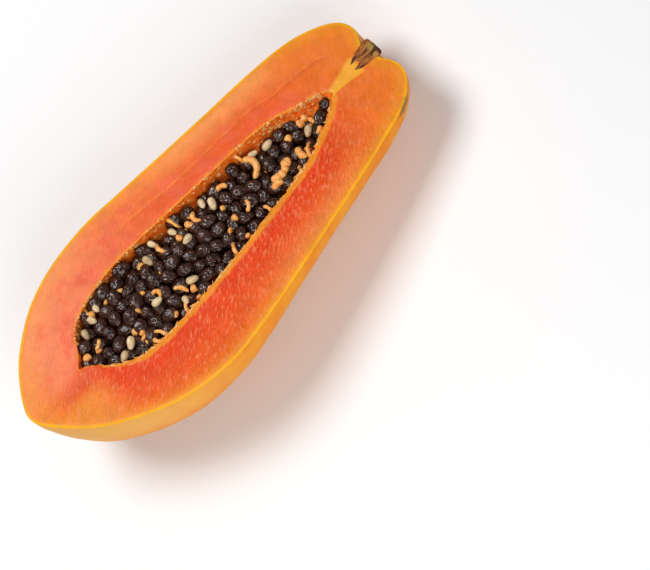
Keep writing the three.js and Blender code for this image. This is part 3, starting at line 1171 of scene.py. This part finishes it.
@dataclass(frozen=True)
class SeedLay:
    """The rule that lays seeds over the cavity's mouth."""

    spacing: float = 7.1
    margin: float = 2.9
    top_margin: float = 5.2  # the same at the cavity's narrow top
    jolt: float = 0.3
    settling_rounds: int = 12
    settling_push: float = 0.25  # share of a lack of room that one push makes up
    bed_depth: float = 5.0
    fall_from: float = 112
    fall_along: float = 0.03
    fall_across: float = 0.12
    rise_from: float = 176
    rise_along: float = 0.2
    narrow_mouth: float = 12.0  # where the mouth is this narrow, seeds lie along the fruit

    def rim_at(self, rim: Outline, x: float) -> float:
        """Measures how far a rim stands from the middle line.

        Args:
            rim: the rim's outline.
            x: place along the fruit.

        Returns:
            The distance, which is 0 past the rim's ends.
        """
        if x < rim[0][0] or x >= rim[-1][0]:
            return 0.0
        return float(np.interp(x, *zip(*rim)))

    def mouth_at(self, x: float) -> Pair:
        """Finds how far across the mouth a seed may lie.

        Args:
            x: place along the fruit.

        Returns:
            The lowest and the highest place, both in the middle where the mouth is narrow.
        """
        right, left = -self.rim_at(RIGHT_RIM, x), self.rim_at(LEFT_RIM, x)
        inset = min(self.margin, (left - right) / 2)
        return right + inset, left - inset

    def depth(self, x: float, y: float) -> float:
        """Depth under the cut face of the middle of the top seeds."""
        fall = max(0.0, (x - self.fall_from) * self.fall_along + y * self.fall_across)
        return self.bed_depth + fall - max(0.0, (x - self.rise_from) * self.rise_along)

    def turn_share(self, x: float) -> float:
        """How freely a seed turns, from 0 where the mouth is narrow to 1 where it is wide."""
        wide = self.rim_at(LEFT_RIM, x) + self.rim_at(RIGHT_RIM, x)
        return min(max(wide / self.narrow_mouth - 1, 0.0), 1.0)

    def _inside(self, x: float, y: float) -> Pair:
        """Keeps a spot inside the cavity's mouth.

        Args:
            x: its place along the fruit.
            y: its place to the fruit's left.

        Returns:
            The nearest place that is inside.
        """
        x = min(max(x, LEFT_RIM[0][0] + self.margin), LEFT_RIM[-1][0] - self.top_margin)
        low, high = self.mouth_at(x)
        return x, max(low, min(high, y))

    def _settled(self, spots: list[Pair]) -> list[Pair]:
        """Pushes spots apart until they lie about evenly.

        Args:
            spots: places along the fruit and to its left.

        Returns:
            The same spots, moved.
        """
        for _ in range(self.settling_rounds):
            for i in range(len(spots)):
                for j in range(i):
                    dx = spots[i][0] - spots[j][0]
                    dy = spots[i][1] - spots[j][1]
                    apart = math.hypot(dx, dy)
                    if apart >= self.spacing or apart == 0:
                        continue
                    push = self.settling_push * (self.spacing - apart) / apart
                    spots[i] = (spots[i][0] + dx * push, spots[i][1] + dy * push)
                    spots[j] = (spots[j][0] - dx * push, spots[j][1] - dy * push)
                spots[i] = self._inside(*spots[i])
        return spots

    def spots(self, dice: Dice) -> list[Pair]:
        """Lays staggered rows over the mouth, jolted by random draws and then settled.

        Args:
            dice: the random draws.

        Returns:
            The spots, as places along the fruit and to its left.
        """
        spots = []
        foot, top = LEFT_RIM[0][0], LEFT_RIM[-1][0]
        row_step = self.spacing * math.sqrt(3) / 2
        rows = math.floor((top - foot - self.margin - self.top_margin) / row_step)
        stray = self.jolt * self.spacing
        for row in range(rows + 1):
            x = foot + self.margin + row * row_step
            low, high = self.mouth_at(x)
            y = low + ((row % 2) * 0.5 * self.spacing if high > low else 0.0)
            while y <= high:
                spots.append((x + dice.between(-stray, stray), y + dice.between(-stray, stray)))
                y += self.spacing
        return self._settled(spots)


@dataclass
class SeedLayer:
    """One layer of seeds, each a creased egg turned its own way."""

    name: str
    placement: Placement
    lay: SeedLay
    places: list[Triple]  # along the fruit, to its left, and depth under the cut
    dice: Dice
    finish: MoistFinish
    half: Triple = (4.45, 3.35, 3.1)
    uneven: float = 1.6
    crease: float = 0.24
    taper: float = 0.09
    sizes: Pair = (0.88, 1.1)
    roll: float = 0.4  # furthest roll about a seed's length, in radians
    tip: float = 0.5  # furthest rise of a seed's end, in radians
    filmy: float = 1.2
    unlike: float = 0.8  # how much the seeds' creases differ: the filmy ones are smoother
    fineness: int = 4

    def build(self) -> Object:
        """Builds the layer's seeds as one mesh.

        Returns:
            The layer's object.
        """
        bm = new_grained()
        for place in self.places:
            self._add_seed(bm, *place)
        return finish_piece(self.name, bm, self.placement, self.finish.build())

    def _add_seed(self, bm: BMesh, x: float, y: float, depth: float) -> None:
        """Adds one seed, with the random draws that size and turn it.

        Args:
            bm: the mesh that takes the seed.
            x: place of its middle along the fruit.
            y: place of its middle to the fruit's left.
            depth: usual depth of its middle under the cut face.
        """
        depth += self.dice.between(-self.uneven, self.uneven)
        size = self.dice.between(*self.sizes)
        roll = self.dice.between(-self.roll, self.roll)
        tip = self.dice.between(-self.tip, self.tip)
        turn = self.lay.turn_share(x) * self.dice.between(0, math.pi)
        turned_so = Euler((roll, tip, turn), "XYZ").to_matrix().to_4x4()
        place = Matrix.Translation((x, y, -depth)) @ turned_so
        scale = Matrix.Diagonal((*(size * h for h in self.half), 1))
        own = Vector((7.3 * x, 5.1 * y, 3.7 * depth))  # takes each seed to noise of its own
        verts = add_ball(bm, self.fineness, Matrix())
        set_grain(bm, verts, np.array([scale @ vert.co + own for vert in verts]))
        film = max(0.0, self.filmy * noise.noise(own))
        crease = self.crease * (1 - self.unlike * noise.noise(own))
        film_layer = bm.verts.layers.float["film"]
        for vert in verts:
            vert[film_layer] = film * (0.5 + 0.5 * abs(vert.co.x))
            vert.co = place @ scale @ (vert.co * self._relief(vert.co, own, crease))

    def _relief(self, unit: Vector, own: Vector, crease: float) -> float:
        """How far a seed's skin stands out: creases that run lengthwise, pits, and a narrower tip.

        Args:
            unit: place on a ball of radius 1.
            own: the seed's own place in the noise.
            crease: how deep its creases are, as a share of its half size.

        Returns:
            What the place's distance from the middle is multiplied by.
        """
        lengthwise = Vector((unit.x * 1.5, unit.y * 3.4, unit.z * 3.4)) + own
        ridge = 1 - 2.4 * abs(noise.noise(lengthwise))
        pits = 1 - 2.4 * abs(noise.noise(unit * 5.5 + own))
        return 1 + crease * (0.8 * ridge + 0.3 * pits - 0.7) - self.taper * unit.x**3


@dataclass
class PackedSeeds:
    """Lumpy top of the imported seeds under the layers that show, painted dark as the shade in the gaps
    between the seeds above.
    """

    placement: Placement
    lay: SeedLay
    under: float = 8.5
    inset: float = 0.4
    foot_gap: float = 3.0
    top_gap: float = 6.0
    lump_height: float = 1.2
    lump_size: float = 5.0
    thickness: float = 1.0
    steps: tuple[int, int] = (120, 40)

    def build(self) -> Object:
        """Builds the sheet of packed seeds.

        Returns:
            The sheet's object.
        """
        foot, top = LEFT_RIM[0][0] + self.foot_gap, LEFT_RIM[-1][0] - self.top_gap

        def sheet(share: Array, across: Array) -> Array:
            """Finds positions on the sheet.

            Args:
                share: places from the cavity's foot, 0, to its top, 1.
                across: places from the right rim, 0, to the left rim, 1.

            Returns:
                The positions, a row for each.
            """
            x = foot + share * (top - foot)
            left, right = (
                np.array([self.lay.rim_at(rim, v) for v in x]) - self.inset for rim in (LEFT_RIM, RIGHT_RIM)
            )
            y = -right + across * (left + right)
            depth = np.array([self.lay.depth(*p) for p in zip(x, y)]) + self.under
            points = np.stack((x, y, -depth), axis=1)
            points[:, 2] += self.lump_height * noise_at(points, self.lump_size, 2.8)
            return points

        bm = bmesh.new()
        add_patch(bm, *self.steps, sheet)
        bmesh.ops.solidify(bm, geom=bm.faces[:], thickness=self.thickness)
        return finish_piece("packed_seeds", bm, self.placement, SHADED_PACKED.build())


@dataclass
class Placenta:
    """What held the seeds: strands from the rims, loose curls, and crumbs between the seeds."""

    placement: Placement
    lay: SeedLay
    seeds: list[Triple]
    stations: tuple[int, ...] = (52, 71, 84, 108, 118, 143, 150, 172)  # of the strands from the rims
    left_every: int = 3  # one strand in so many starts at the left rim
    radius: float = 1.0
    drift: float = 4.0  # furthest stray of a strand along the fruit
    reaches: Pair = (4.5, 8)
    root: float = 2.2  # how deep a strand starts in the rim
    steps: int = 26
    crumbs: int = 46
    crumb_steps: int = 13
    crumb_lengths: Pair = (1.8, 4.4)
    crumb_radii: Pair = (1.1, 2.2)
    crumb_gaps: Pair = (4, 12)  # kept free of crumbs at the cavity's foot and top
    crumb_stray: float = 1.5  # how far past the seeds' middles crumbs lie
    crumb_bend: float = 1.5  # furthest turn of a crumb along its length, in radians
    crumb_rise: float = 2.4
    crumb_slope: float = 0.5
    crumb_lid: float = 0.6  # least depth of its middle line
    tries: int = 5  # places tried for each crumb, of which the one furthest from any seed is taken
    # Loose curls: along the fruit, across it, length, heading and curl in degrees, and thickness
    curls: tuple[tuple[float, float, float, float, float, float], ...] = (
        (149, 12.8, 17.5, -12, -165, 1.6),
        (172, -5.0, 8, 230, 70, 1.6),
        (165.5, -7.0, 7, 150, 120, 2.1),
        (160.5, -8.5, 8, 200, -60, 1.9),
        (156, -12.5, 6, 120, 90, 1.5),
        (138, -3.5, 7, 300, -120, 1.1),
        (137, 8.5, 6, 80, 140, 1.2),
        (119, 12.5, 8, 190, 150, 1.2),
        (97, 15.5, 7, 220, 100, 1.1),
        (91, -14, 8, 90, 60, 1.0),
        (80, -5, 7, 10, 200, 1.0),
        (65, -16.5, 8, 260, 90, 1.1),
        (43, 1.5, 6, 330, 120, 0.9),
    )
    curl_rise: float = 4.0  # of a curl above the middle of the seeds under it
    curl_dip: float = 1.2  # of its ends

    def build(self) -> Object:
        """Builds all of it as one mesh.

        Returns:
            The object.
        """
        bm = new_grained()
        dice = Dice(DRAW_SEED + 3)
        for i, station in enumerate(self.stations):
            self._add_reaching(bm, dice, station, 1 if i % self.left_every == 0 else -1)
        for curl in self.curls:
            self._add_curl(bm, dice, *curl)
        for _ in range(self.crumbs):
            self._add_crumb(bm, dice)
        return finish_piece("placenta", bm, self.placement, PLACENTA.build())

    def _add_reaching(self, bm: BMesh, dice: Dice, station: float, side: int) -> None:
        """Adds a strand that starts in the flesh of a rim and lies over the seeds.

        Args:
            bm: the mesh that takes the strand.
            dice: the random draws.
            station: its place along the fruit.
            side: 1 for the left rim and -1 for the right one.
        """
        rim = side * self.lay.rim_at(LEFT_RIM if side > 0 else RIGHT_RIM, station)
        drift = dice.between(-self.drift, self.drift)
        reach = side * dice.between(*self.reaches)
        depth = self.lay.depth(station, rim)
        knots = (
            (station, rim + side * self.root, -0.9 * depth),
            (station + 0.3 * drift, rim - 0.35 * reach, -0.35 * depth),
            (station + drift, rim - 0.8 * reach, -0.45 * depth),
            (station + 1.5 * drift, rim - reach, -0.95 * depth),
        )
        share = np.linspace(0, 1, self.steps)
        path = smooth_path(knots, share)
        path += 0.25 * np.stack([noise_at(path, 2.5, 5.5 * k + station) for k in range(3)], axis=1)
        knobs = 1 + 0.3 * noise_at(path, 1.8, station)
        add_tube(bm, path, self.radius * (1.15 - 0.55 * share) * knobs)

    def _add_curl(
        self,
        bm: BMesh,
        dice: Dice,
        x: float,
        y: float,
        length: float,
        heading: float,
        curl: float,
        thickness: float,
    ) -> None:
        """Adds a loose strand that bends along its length and dips between the seeds at its ends.

        Args:
            bm: the mesh that takes the strand.
            dice: the random draws.
            x: place of its start along the fruit.
            y: place of its start to the fruit's left.
            length: its length.
            heading: the way that it sets out, in degrees from the fruit's length to its left.
            curl: how far it turns until its end, in degrees.
            thickness: its radius.
        """
        share = np.linspace(0, 1, self.steps)
        turn = np.radians(heading + curl * share)
        step = length / self.steps
        path = np.stack((x + np.cumsum(np.cos(turn)) * step, y + np.cumsum(np.sin(turn)) * step), axis=1)
        top = np.array([self.lay.depth(*p) for p in path]) - self.curl_rise
        dip = self.curl_dip * abs(2 * share - 1) ** 3
        lift = 0.4 * noise_at(np.column_stack((path, top)), 3, dice.between(0, 90))
        path = np.column_stack((path, np.minimum(-top - dip + lift, -0.35 * thickness)))
        add_tube(bm, path, self._knobbly(path, share, thickness, dice.between(0, 90)))

    def _add_crumb(self, bm: BMesh, dice: Dice) -> None:
        """Adds a short torn piece in a gap between the seeds.

        Args:
            bm: the mesh that takes the piece.
            dice: the random draws.
        """
        spots = []
        for _ in range(self.tries):
            x = dice.between(LEFT_RIM[0][0] + self.crumb_gaps[0], LEFT_RIM[-1][0] - self.crumb_gaps[1])
            low, high = self.lay.mouth_at(x)
            spots.append((x, dice.between(low - self.crumb_stray, high + self.crumb_stray)))
        clear = [min(math.hypot(x - s[0], y - s[1]) for s in self.seeds) for x, y in spots]
        x, y = spots[int(np.argmax(clear))]
        share = np.linspace(0, 1, self.crumb_steps)
        length = dice.between(*self.crumb_lengths)
        turn = dice.between(0, 2 * math.pi) + dice.between(-self.crumb_bend, self.crumb_bend) * share
        depth = self.lay.depth(x, y) - dice.between(0.0, self.crumb_rise)
        slope = dice.between(-self.crumb_slope, self.crumb_slope)
        height = np.minimum(-depth + slope * length * (share - 0.5), -self.crumb_lid)
        along = x + np.cumsum(np.cos(turn)) * length / self.crumb_steps
        aside = y + np.cumsum(np.sin(turn)) * length / self.crumb_steps
        path = np.stack((along, aside, height), axis=1)
        radii = self._knobbly(path, share, dice.between(*self.crumb_radii), dice.between(0, 90))
        add_tube(bm, path, radii)

    def _knobbly(self, path: Array, share: Array, thickness: float, own: float) -> Array:
        """Radii of a torn strand: round at its ends, and uneven between them.

        Args:
            path: points of its middle line.
            share: place of each point along it, from 0 to 1.
            thickness: its usual radius.
            own: the strand's own place in the noise.

        Returns:
            The radius at each point.
        """
        ends = np.sqrt(np.maximum(1 - (2 * share - 1) ** 4, 0.02))
        return thickness * ends * (1 + 0.42 * noise_at(path, 1.5, own))


@dataclass
class WallBeads:
    """Small beads of placenta on the cavity's wall, thickest just under the left rim."""

    placement: Placement
    count: int = 420
    along: Pair = (0.12, 0.93)  # share of the cavity's length
    sizes: Pair = (0.35, 0.85)
    stretches: Pair = (0.9, 1.6)
    downs: Spans = ((0.02, 0.95), (0.15, 1.0))  # two draws, whose product is radians below a rim
    right_every: int = 4  # one bead in so many lies under the right rim
    fineness: int = 2

    def build(self) -> Object:
        """Builds all beads as one mesh.

        Returns:
            The beads' object.
        """
        dice = Dice(DRAW_SEED + 7)
        bm = new_grained()
        for i in range(self.count):
            share = np.array([dice.between(*self.along)])
            down = dice.between(*self.downs[0]) * dice.between(*self.downs[1])
            turn = np.array([math.pi - down if i % self.right_every == 0 else down])
            spot = Vector(CAVITY_SURFACE.points(share, turn)[0])
            size = dice.between(*self.sizes)
            stretch = Matrix.Diagonal((size * dice.between(*self.stretches), size, size, 1))
            verts = add_ball(bm, self.fineness, Matrix.Translation(spot) @ stretch)
            set_grain(bm, verts, np.array([vert.co for vert in verts]))
        return finish_piece("wall_beads", bm, self.placement, BEAD.build())


@dataclass
class RimFibres:
    """Torn fibres along the cavity's rims, where the knife dragged the placenta."""

    placement: Placement
    lay: SeedLay
    counts: tuple[int, int] = (10, 110)  # on the left rim and on the right one
    lengths: Pair = (2.5, 7.0)
    radii: Pair = (0.22, 0.65)
    root: float = 0.8  # how far inside the rim's flesh a fibre starts
    bends: Pair = (0.3, 2.0)  # how far it bends into the cavity
    start_depth: float = 0.5
    sinks: Pair = (0.2, 1.8)
    steps: int = 9
    sides: int = 7

    def build(self) -> Object:
        """Builds all fibres as one mesh.

        Returns:
            The fibres' object.
        """
        dice = Dice(DRAW_SEED + 11)
        bm = new_grained()
        for side, rim, count in zip((1, -1), (LEFT_RIM, RIGHT_RIM), self.counts):
            for _ in range(count):
                self._add_fibre(bm, dice, rim, side)
        return finish_piece("rim_fibres", bm, self.placement, PLACENTA.build())

    def _add_fibre(self, bm: BMesh, dice: Dice, rim: Outline, side: int) -> None:
        """Adds a fibre that lies along the rim and bends a little into the cavity.

        Args:
            bm: the mesh that takes the fibre.
            dice: the random draws.
            rim: the rim's outline.
            side: 1 for the left rim and -1 for the right one.
        """
        x = dice.between(rim[2][0], rim[-2][0])
        length = dice.between(*self.lengths) * dice.between(-1, 1)
        inward = dice.between(*self.bends)
        share = np.linspace(0, 1, self.steps)
        along = x + length * share
        edge = np.array([self.lay.rim_at(rim, v) for v in along])
        out = edge + self.root - inward * share**1.5
        down = -self.start_depth - dice.between(*self.sinks) * share
        path = np.column_stack((along, side * out, down))
        radii = dice.between(*self.radii) * (1.1 - 0.7 * share) * (1 + 0.4 * noise_at(path, 1.3, x))
        add_tube(bm, path, radii, self.sides)


@dataclass
class Stalk:
    """Dried stub of the stalk, rooted in the flesh and cut through with the fruit."""

    placement: Placement
    # Half width of the stub along the fruit
    profile: Outline = (
        (214.4, 0.6), (215.6, 2.0), (217.5, 3.3), (221, 4.3), (225, 5.0), (227.6, 5.4), (229.6, 5.0),
    )
    steps: tuple[int, int] = (90, 110)
    groove: float = 0.25  # depth of the grooves in its bark, as a share of its radius
    proud: float = 0.2  # of the flesh's cut, because the dry stub shrinks less than the flesh
    fork_depth: float = 1.1  # its foot ends in two points, with flesh between them
    # Bits near its end that are still greenish: along the fruit, to its left, and radius
    fresh_bits: tuple[Triple, ...] = ((227.4, 0.8, 2.0), (226.2, -4.0, 1.3))

    def build(self) -> Object:
        """Builds the stub.

        Returns:
            The stub's object.
        """
        bm = new_grained()
        add_patch(bm, *self.steps, self._stub, grain=self._stub)
        mesh = finish_mesh("stalk", bm)
        points = read_vectors(mesh, "co")
        set_attribute(mesh, "darkened", self._darkened(points))
        set_attribute(mesh, "fresh", self._fresh(points))
        mesh.transform(self.placement.matrix())
        mesh.materials.append(STALK.build())
        return bpy.data.objects.new("stalk", mesh)

    def _stub(self, share: Array, round_share: Array) -> Array:
        """Shapes the stub: grooved bark, a ragged end, a forked foot and a flat cut on top.

        Args:
            share: places along it from 0 to 1.
            round_share: places round it from 0 to 1.

        Returns:
            Positions in the fruit's axes, one a row.
        """
        stations, halves = np.array(self.profile, dtype=float).T
        x = stations[0] + share * (stations[-1] - stations[0])
        turn = round_share * 2 * math.pi
        flat = np.stack((x * 0.2, np.cos(turn) * 2, np.sin(turn) * 2), axis=1)
        ridges = abs(noise_at(flat, (1.1, 0.8, 0.8), 3.3))
        radius = np.interp(x, stations, halves) * (1.0 - self.groove * ridges)
        radius *= smooth(0.0, 0.03, share) * smooth(1.0, 0.985, share)
        ragged = 1.3 * noise_at(flat, (3, 0.5, 0.5), 6.1) * smooth(0.7, 1.0, share)
        y = radius * np.cos(turn)
        fork = self.fork_depth * np.exp(-(((y - 0.3) / 1.2) ** 2)) * smooth(220, 217, x)
        cut = np.stack((x / 3, y / 0.6, 0 * x), axis=1)
        top = self.proud + 0.3 * noise_at(cut, 1.0, 4.7) - fork
        return np.stack((x - abs(ragged), y, np.minimum(radius * np.sin(turn), top)), axis=1)

    def _darkened(self, points: Array) -> Array:
        """Finds where the stub is darkest: its foot, the right of its end, and along its fibres.

        Args:
            points: positions, one a row.

        Returns:
            How dark each is, from 0 to 1.
        """
        x, y = points[:, 0], points[:, 1]
        patches = noise_at(points, (4.0, 1.1, 2.0), 8.3)
        ends = 0.45 * smooth(220.5, 217, x) + 0.9 * smooth(227, 229, x) * smooth(2.5, -2, y)
        return 0.85 * smooth(0.1, 0.42, patches + ends)

    def _fresh(self, points: Array) -> Array:
        """Finds the bits near its end that are still greenish.

        Args:
            points: positions, one a row.

        Returns:
            How green each is, from 0 to 1.
        """
        ragged = 0.5 * noise_at(points, 1.1, 3.9)
        amounts = [
            smooth(1.2, 0.5, np.hypot(points[:, 0] - x, points[:, 1] - y) / radius + ragged)
            for x, y, radius in self.fresh_bits
        ]
        return 0.6 * np.maximum(*amounts)


@dataclass
class Studio:
    """Pale floor, soft lights and the camera."""

    placement: Placement
    lean_back_deg: float = 26.0  # of the view from the cut face's normal towards the right flank
    roll_deg: float = 47.7  # of the fruit's length above the picture's horizon
    aim_along: float = 134.3
    aim_aside: float = 56.5
    picture_mm: float = 292.5  # width of the picture at the fruit
    lens_mm: float = 120.0
    sensor_mm: float = 36.0
    floor_half: float = 4.0  # in metres
    # Softboxes: name, place in metres, width in metres and power in watts
    softboxes: tuple[tuple[str, Triple, float, float], ...] = (
        ("key_softbox", (-0.1, 0.35, 0.93), 0.45, 6.7),
        ("fill_softbox", (-0.1, -0.8, 0.55), 0.7, 4.8),
    )
    world_strength: float = 0.22

    def build(self) -> None:
        """Sets up floor, lights, world and camera."""
        self._add_floor()
        self._add_camera()
        for softbox in self.softboxes:
            self._add_light(*softbox)
        world = bpy.data.worlds.new("studio")
        world.use_nodes = True
        background = world.node_tree.nodes["Background"]
        background.inputs["Color"].default_value = srgb("#ffffff")
        background.inputs["Strength"].default_value = self.world_strength
        bpy.context.scene.world = world
        bpy.context.scene.view_settings.view_transform = "Standard"

    def _add_camera(self) -> None:
        """Puts the camera where the photograph was taken from."""
        lean, roll = math.radians(self.lean_back_deg), math.radians(self.roll_deg)
        length = Vector((1, 0, 0))
        aside = Vector((0, -math.cos(lean), -math.sin(lean)))
        right = math.cos(roll) * length + math.sin(roll) * aside
        up = math.sin(roll) * length - math.cos(roll) * aside
        axes = Matrix((right, up, right.cross(up))).transposed()
        target = Vector((self.aim_along, 0, 0)) + self.aim_aside * aside
        distance = self.picture_mm * self.lens_mm / self.sensor_mm
        lens = bpy.data.cameras.new("camera")
        lens.lens = self.lens_mm
        lens.sensor_width = self.sensor_mm
        camera = bpy.data.objects.new("camera", lens)
        turn = Matrix.Rotation(math.radians(self.placement.tilt_deg), 3, "Y") @ axes
        spot = self.placement.matrix() @ (target + distance * axes.col[2])
        camera.matrix_world = Matrix.Translation(spot) @ turn.to_4x4()
        bpy.context.collection.objects.link(camera)
        bpy.context.scene.camera = camera

    def _add_light(self, name: str, spot: Triple, size: float, power: float) -> None:
        """Adds a square softbox that faces the fruit.

        Args:
            name: the light's name.
            spot: its place in metres.
            size: its width in metres.
            power: its power in watts.
        """
        lamp = bpy.data.lights.new(name, "AREA")
        lamp.size = size
        lamp.energy = power
        light = bpy.data.objects.new(name, lamp)
        light.location = spot
        light.rotation_euler = Vector(spot).to_track_quat("Z", "Y").to_euler()
        bpy.context.collection.objects.link(light)

    def _add_floor(self) -> None:
        """Adds the floor: matt white paper, which takes a soft shadow."""
        bm = bmesh.new()
        bmesh.ops.create_grid(bm, x_segments=1, y_segments=1, size=self.floor_half)
        mesh = finish_mesh("floor", bm)
        paper = {"Base Color": srgb("#fafafa"), "Roughness": 0.9}
        mesh.materials.append(MaterialNodes("studio_paper_matt").surface(paper))
        floor = bpy.data.objects.new("floor", mesh)
        bpy.context.collection.objects.link(floor)


def show(piece: Object, node: str | None = None) -> None:
    """Puts a finished piece on the part's body.

    Args:
        piece: the finished object.
        node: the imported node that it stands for, if any.
    """
    bpy.context.collection.objects.link(piece)
    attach(piece, "root")
    if node:
        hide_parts(node)
    LOG.info("%s: %d faces", piece.name, len(piece.data.polygons))


@dataclass
class SeedBed:
    """All layers of seeds in the cavity."""

    placement: Placement
    lay: SeedLay
    # Pale seeds, as (along the fruit, to its left)
    pale_spots: Outline = (
        (163, 8.8), (155.5, 11.4), (127.5, 9.6), (124, 13.6), (108.3, 5.7), (105.2, 14.7), (94.8, 18.5),
        (95.4, -10.5), (88.1, 14.2), (87.5, -14.8), (77.3, -5.1), (56.5, 17.2), (56.9, -8.9),
        (50.6, 14.6), (44.6, 11.6), (50.3, -11.3), (181, -2.5),
    )
    pale_half: Triple = (2.9, 1.75, 1.55)
    pale_rise: float = 2.3  # of the pale seeds above the middle of the black ones
    pale_uneven: float = 0.4
    pale_crease: float = 0.05
    pale_taper: float = 0.25
    pale_reach: float = 4.6  # how near to a pale seed a black one lies deeper
    under_pale: float = 2.0
    lower_sink: float = 5.4
    lower_fineness: int = 3
    wall_row: Triple = (37, 124, 6.6)  # first, last and step along the left wall
    wall_gap: float = 2.6  # of that row's middles from the rim
    wall_rise: float = 1.2
    room: float = 4.9  # a seed is added to that row where none is nearer

    def __post_init__(self) -> None:
        """Draws the places of the seeds that show."""
        self.dice = Dice(DRAW_SEED + 1)
        self.places = [(x, y, self._depth(x, y)) for x, y in self.lay.spots(self.dice)]
        self.places += self._wall_places()

    def _wall_places(self) -> list[Triple]:
        """Lays a row along the left wall where the rows over the mouth leave room for a seed.

        Returns:
            The places, each along the fruit, to its left, and its depth.
        """
        row = [(x, self.lay.rim_at(LEFT_RIM, x) - self.wall_gap) for x in np.arange(*self.wall_row)]
        return [
            (x, y, self.lay.depth(x, y) - self.wall_rise)
            for x, y in row
            if min(math.hypot(x - p[0], y - p[1]) for p in self.places) > self.room
        ]

    def _depth(self, x: float, y: float) -> float:
        """Depth of a black seed, more where a pale one lies on it."""
        covered = any(math.hypot(p[0] - x, p[1] - y) < self.pale_reach for p in self.pale_spots)
        return self.lay.depth(x, y) + (self.under_pale if covered else 0.0)

    def build_black(self) -> Object:
        """Builds the black seeds on top."""
        return SeedLayer("black_seeds", self.placement, self.lay, self.places, self.dice, SEED).build()

    def build_pale(self) -> Object:
        """Builds the unripe seeds that lie on the black ones.

        Returns:
            The seeds' object.
        """
        places = [(x, y, self.lay.depth(x, y) - self.pale_rise) for x, y in self.pale_spots]
        return SeedLayer(
            "unripe_seeds",
            self.placement,
            self.lay,
            places,
            Dice(DRAW_SEED + 2),
            PALE_SEED,
            self.pale_half,
            self.pale_uneven,
            self.pale_crease,
            self.pale_taper,
        ).build()

    def build_lower(self) -> Object:
        """Builds the black seeds that show in the gaps between the top ones.

        Returns:
            The seeds' object.
        """
        dice = Dice(DRAW_SEED + 5)
        places = [(x, y, self.lay.depth(x, y) + self.lower_sink) for x, y in self.lay.spots(dice)]
        layer = SeedLayer("lower_seeds", self.placement, self.lay, places, dice, SEED)
        layer.fineness = self.lower_fineness
        return layer.build()


def main() -> None:
    """Builds the half papaya and the studio round it."""
    logging.basicConfig(level=logging.INFO, format="%(message)s")
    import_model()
    place = Placement()
    lay = SeedLay()
    bed = SeedBed(place, lay)

    show(Fruit(place).build(), "flesh")
    show(bed.build_black(), "seeds")
    show(bed.build_pale())
    show(bed.build_lower())
    show(PackedSeeds(place, lay).build())
    show(Placenta(place, lay, bed.places).build())
    show(WallBeads(place).build())
    show(RimFibres(place, lay).build())
    show(Stalk(place).build(), "stem")
    Studio(place).build()


if __name__ == "__main__":
    main()
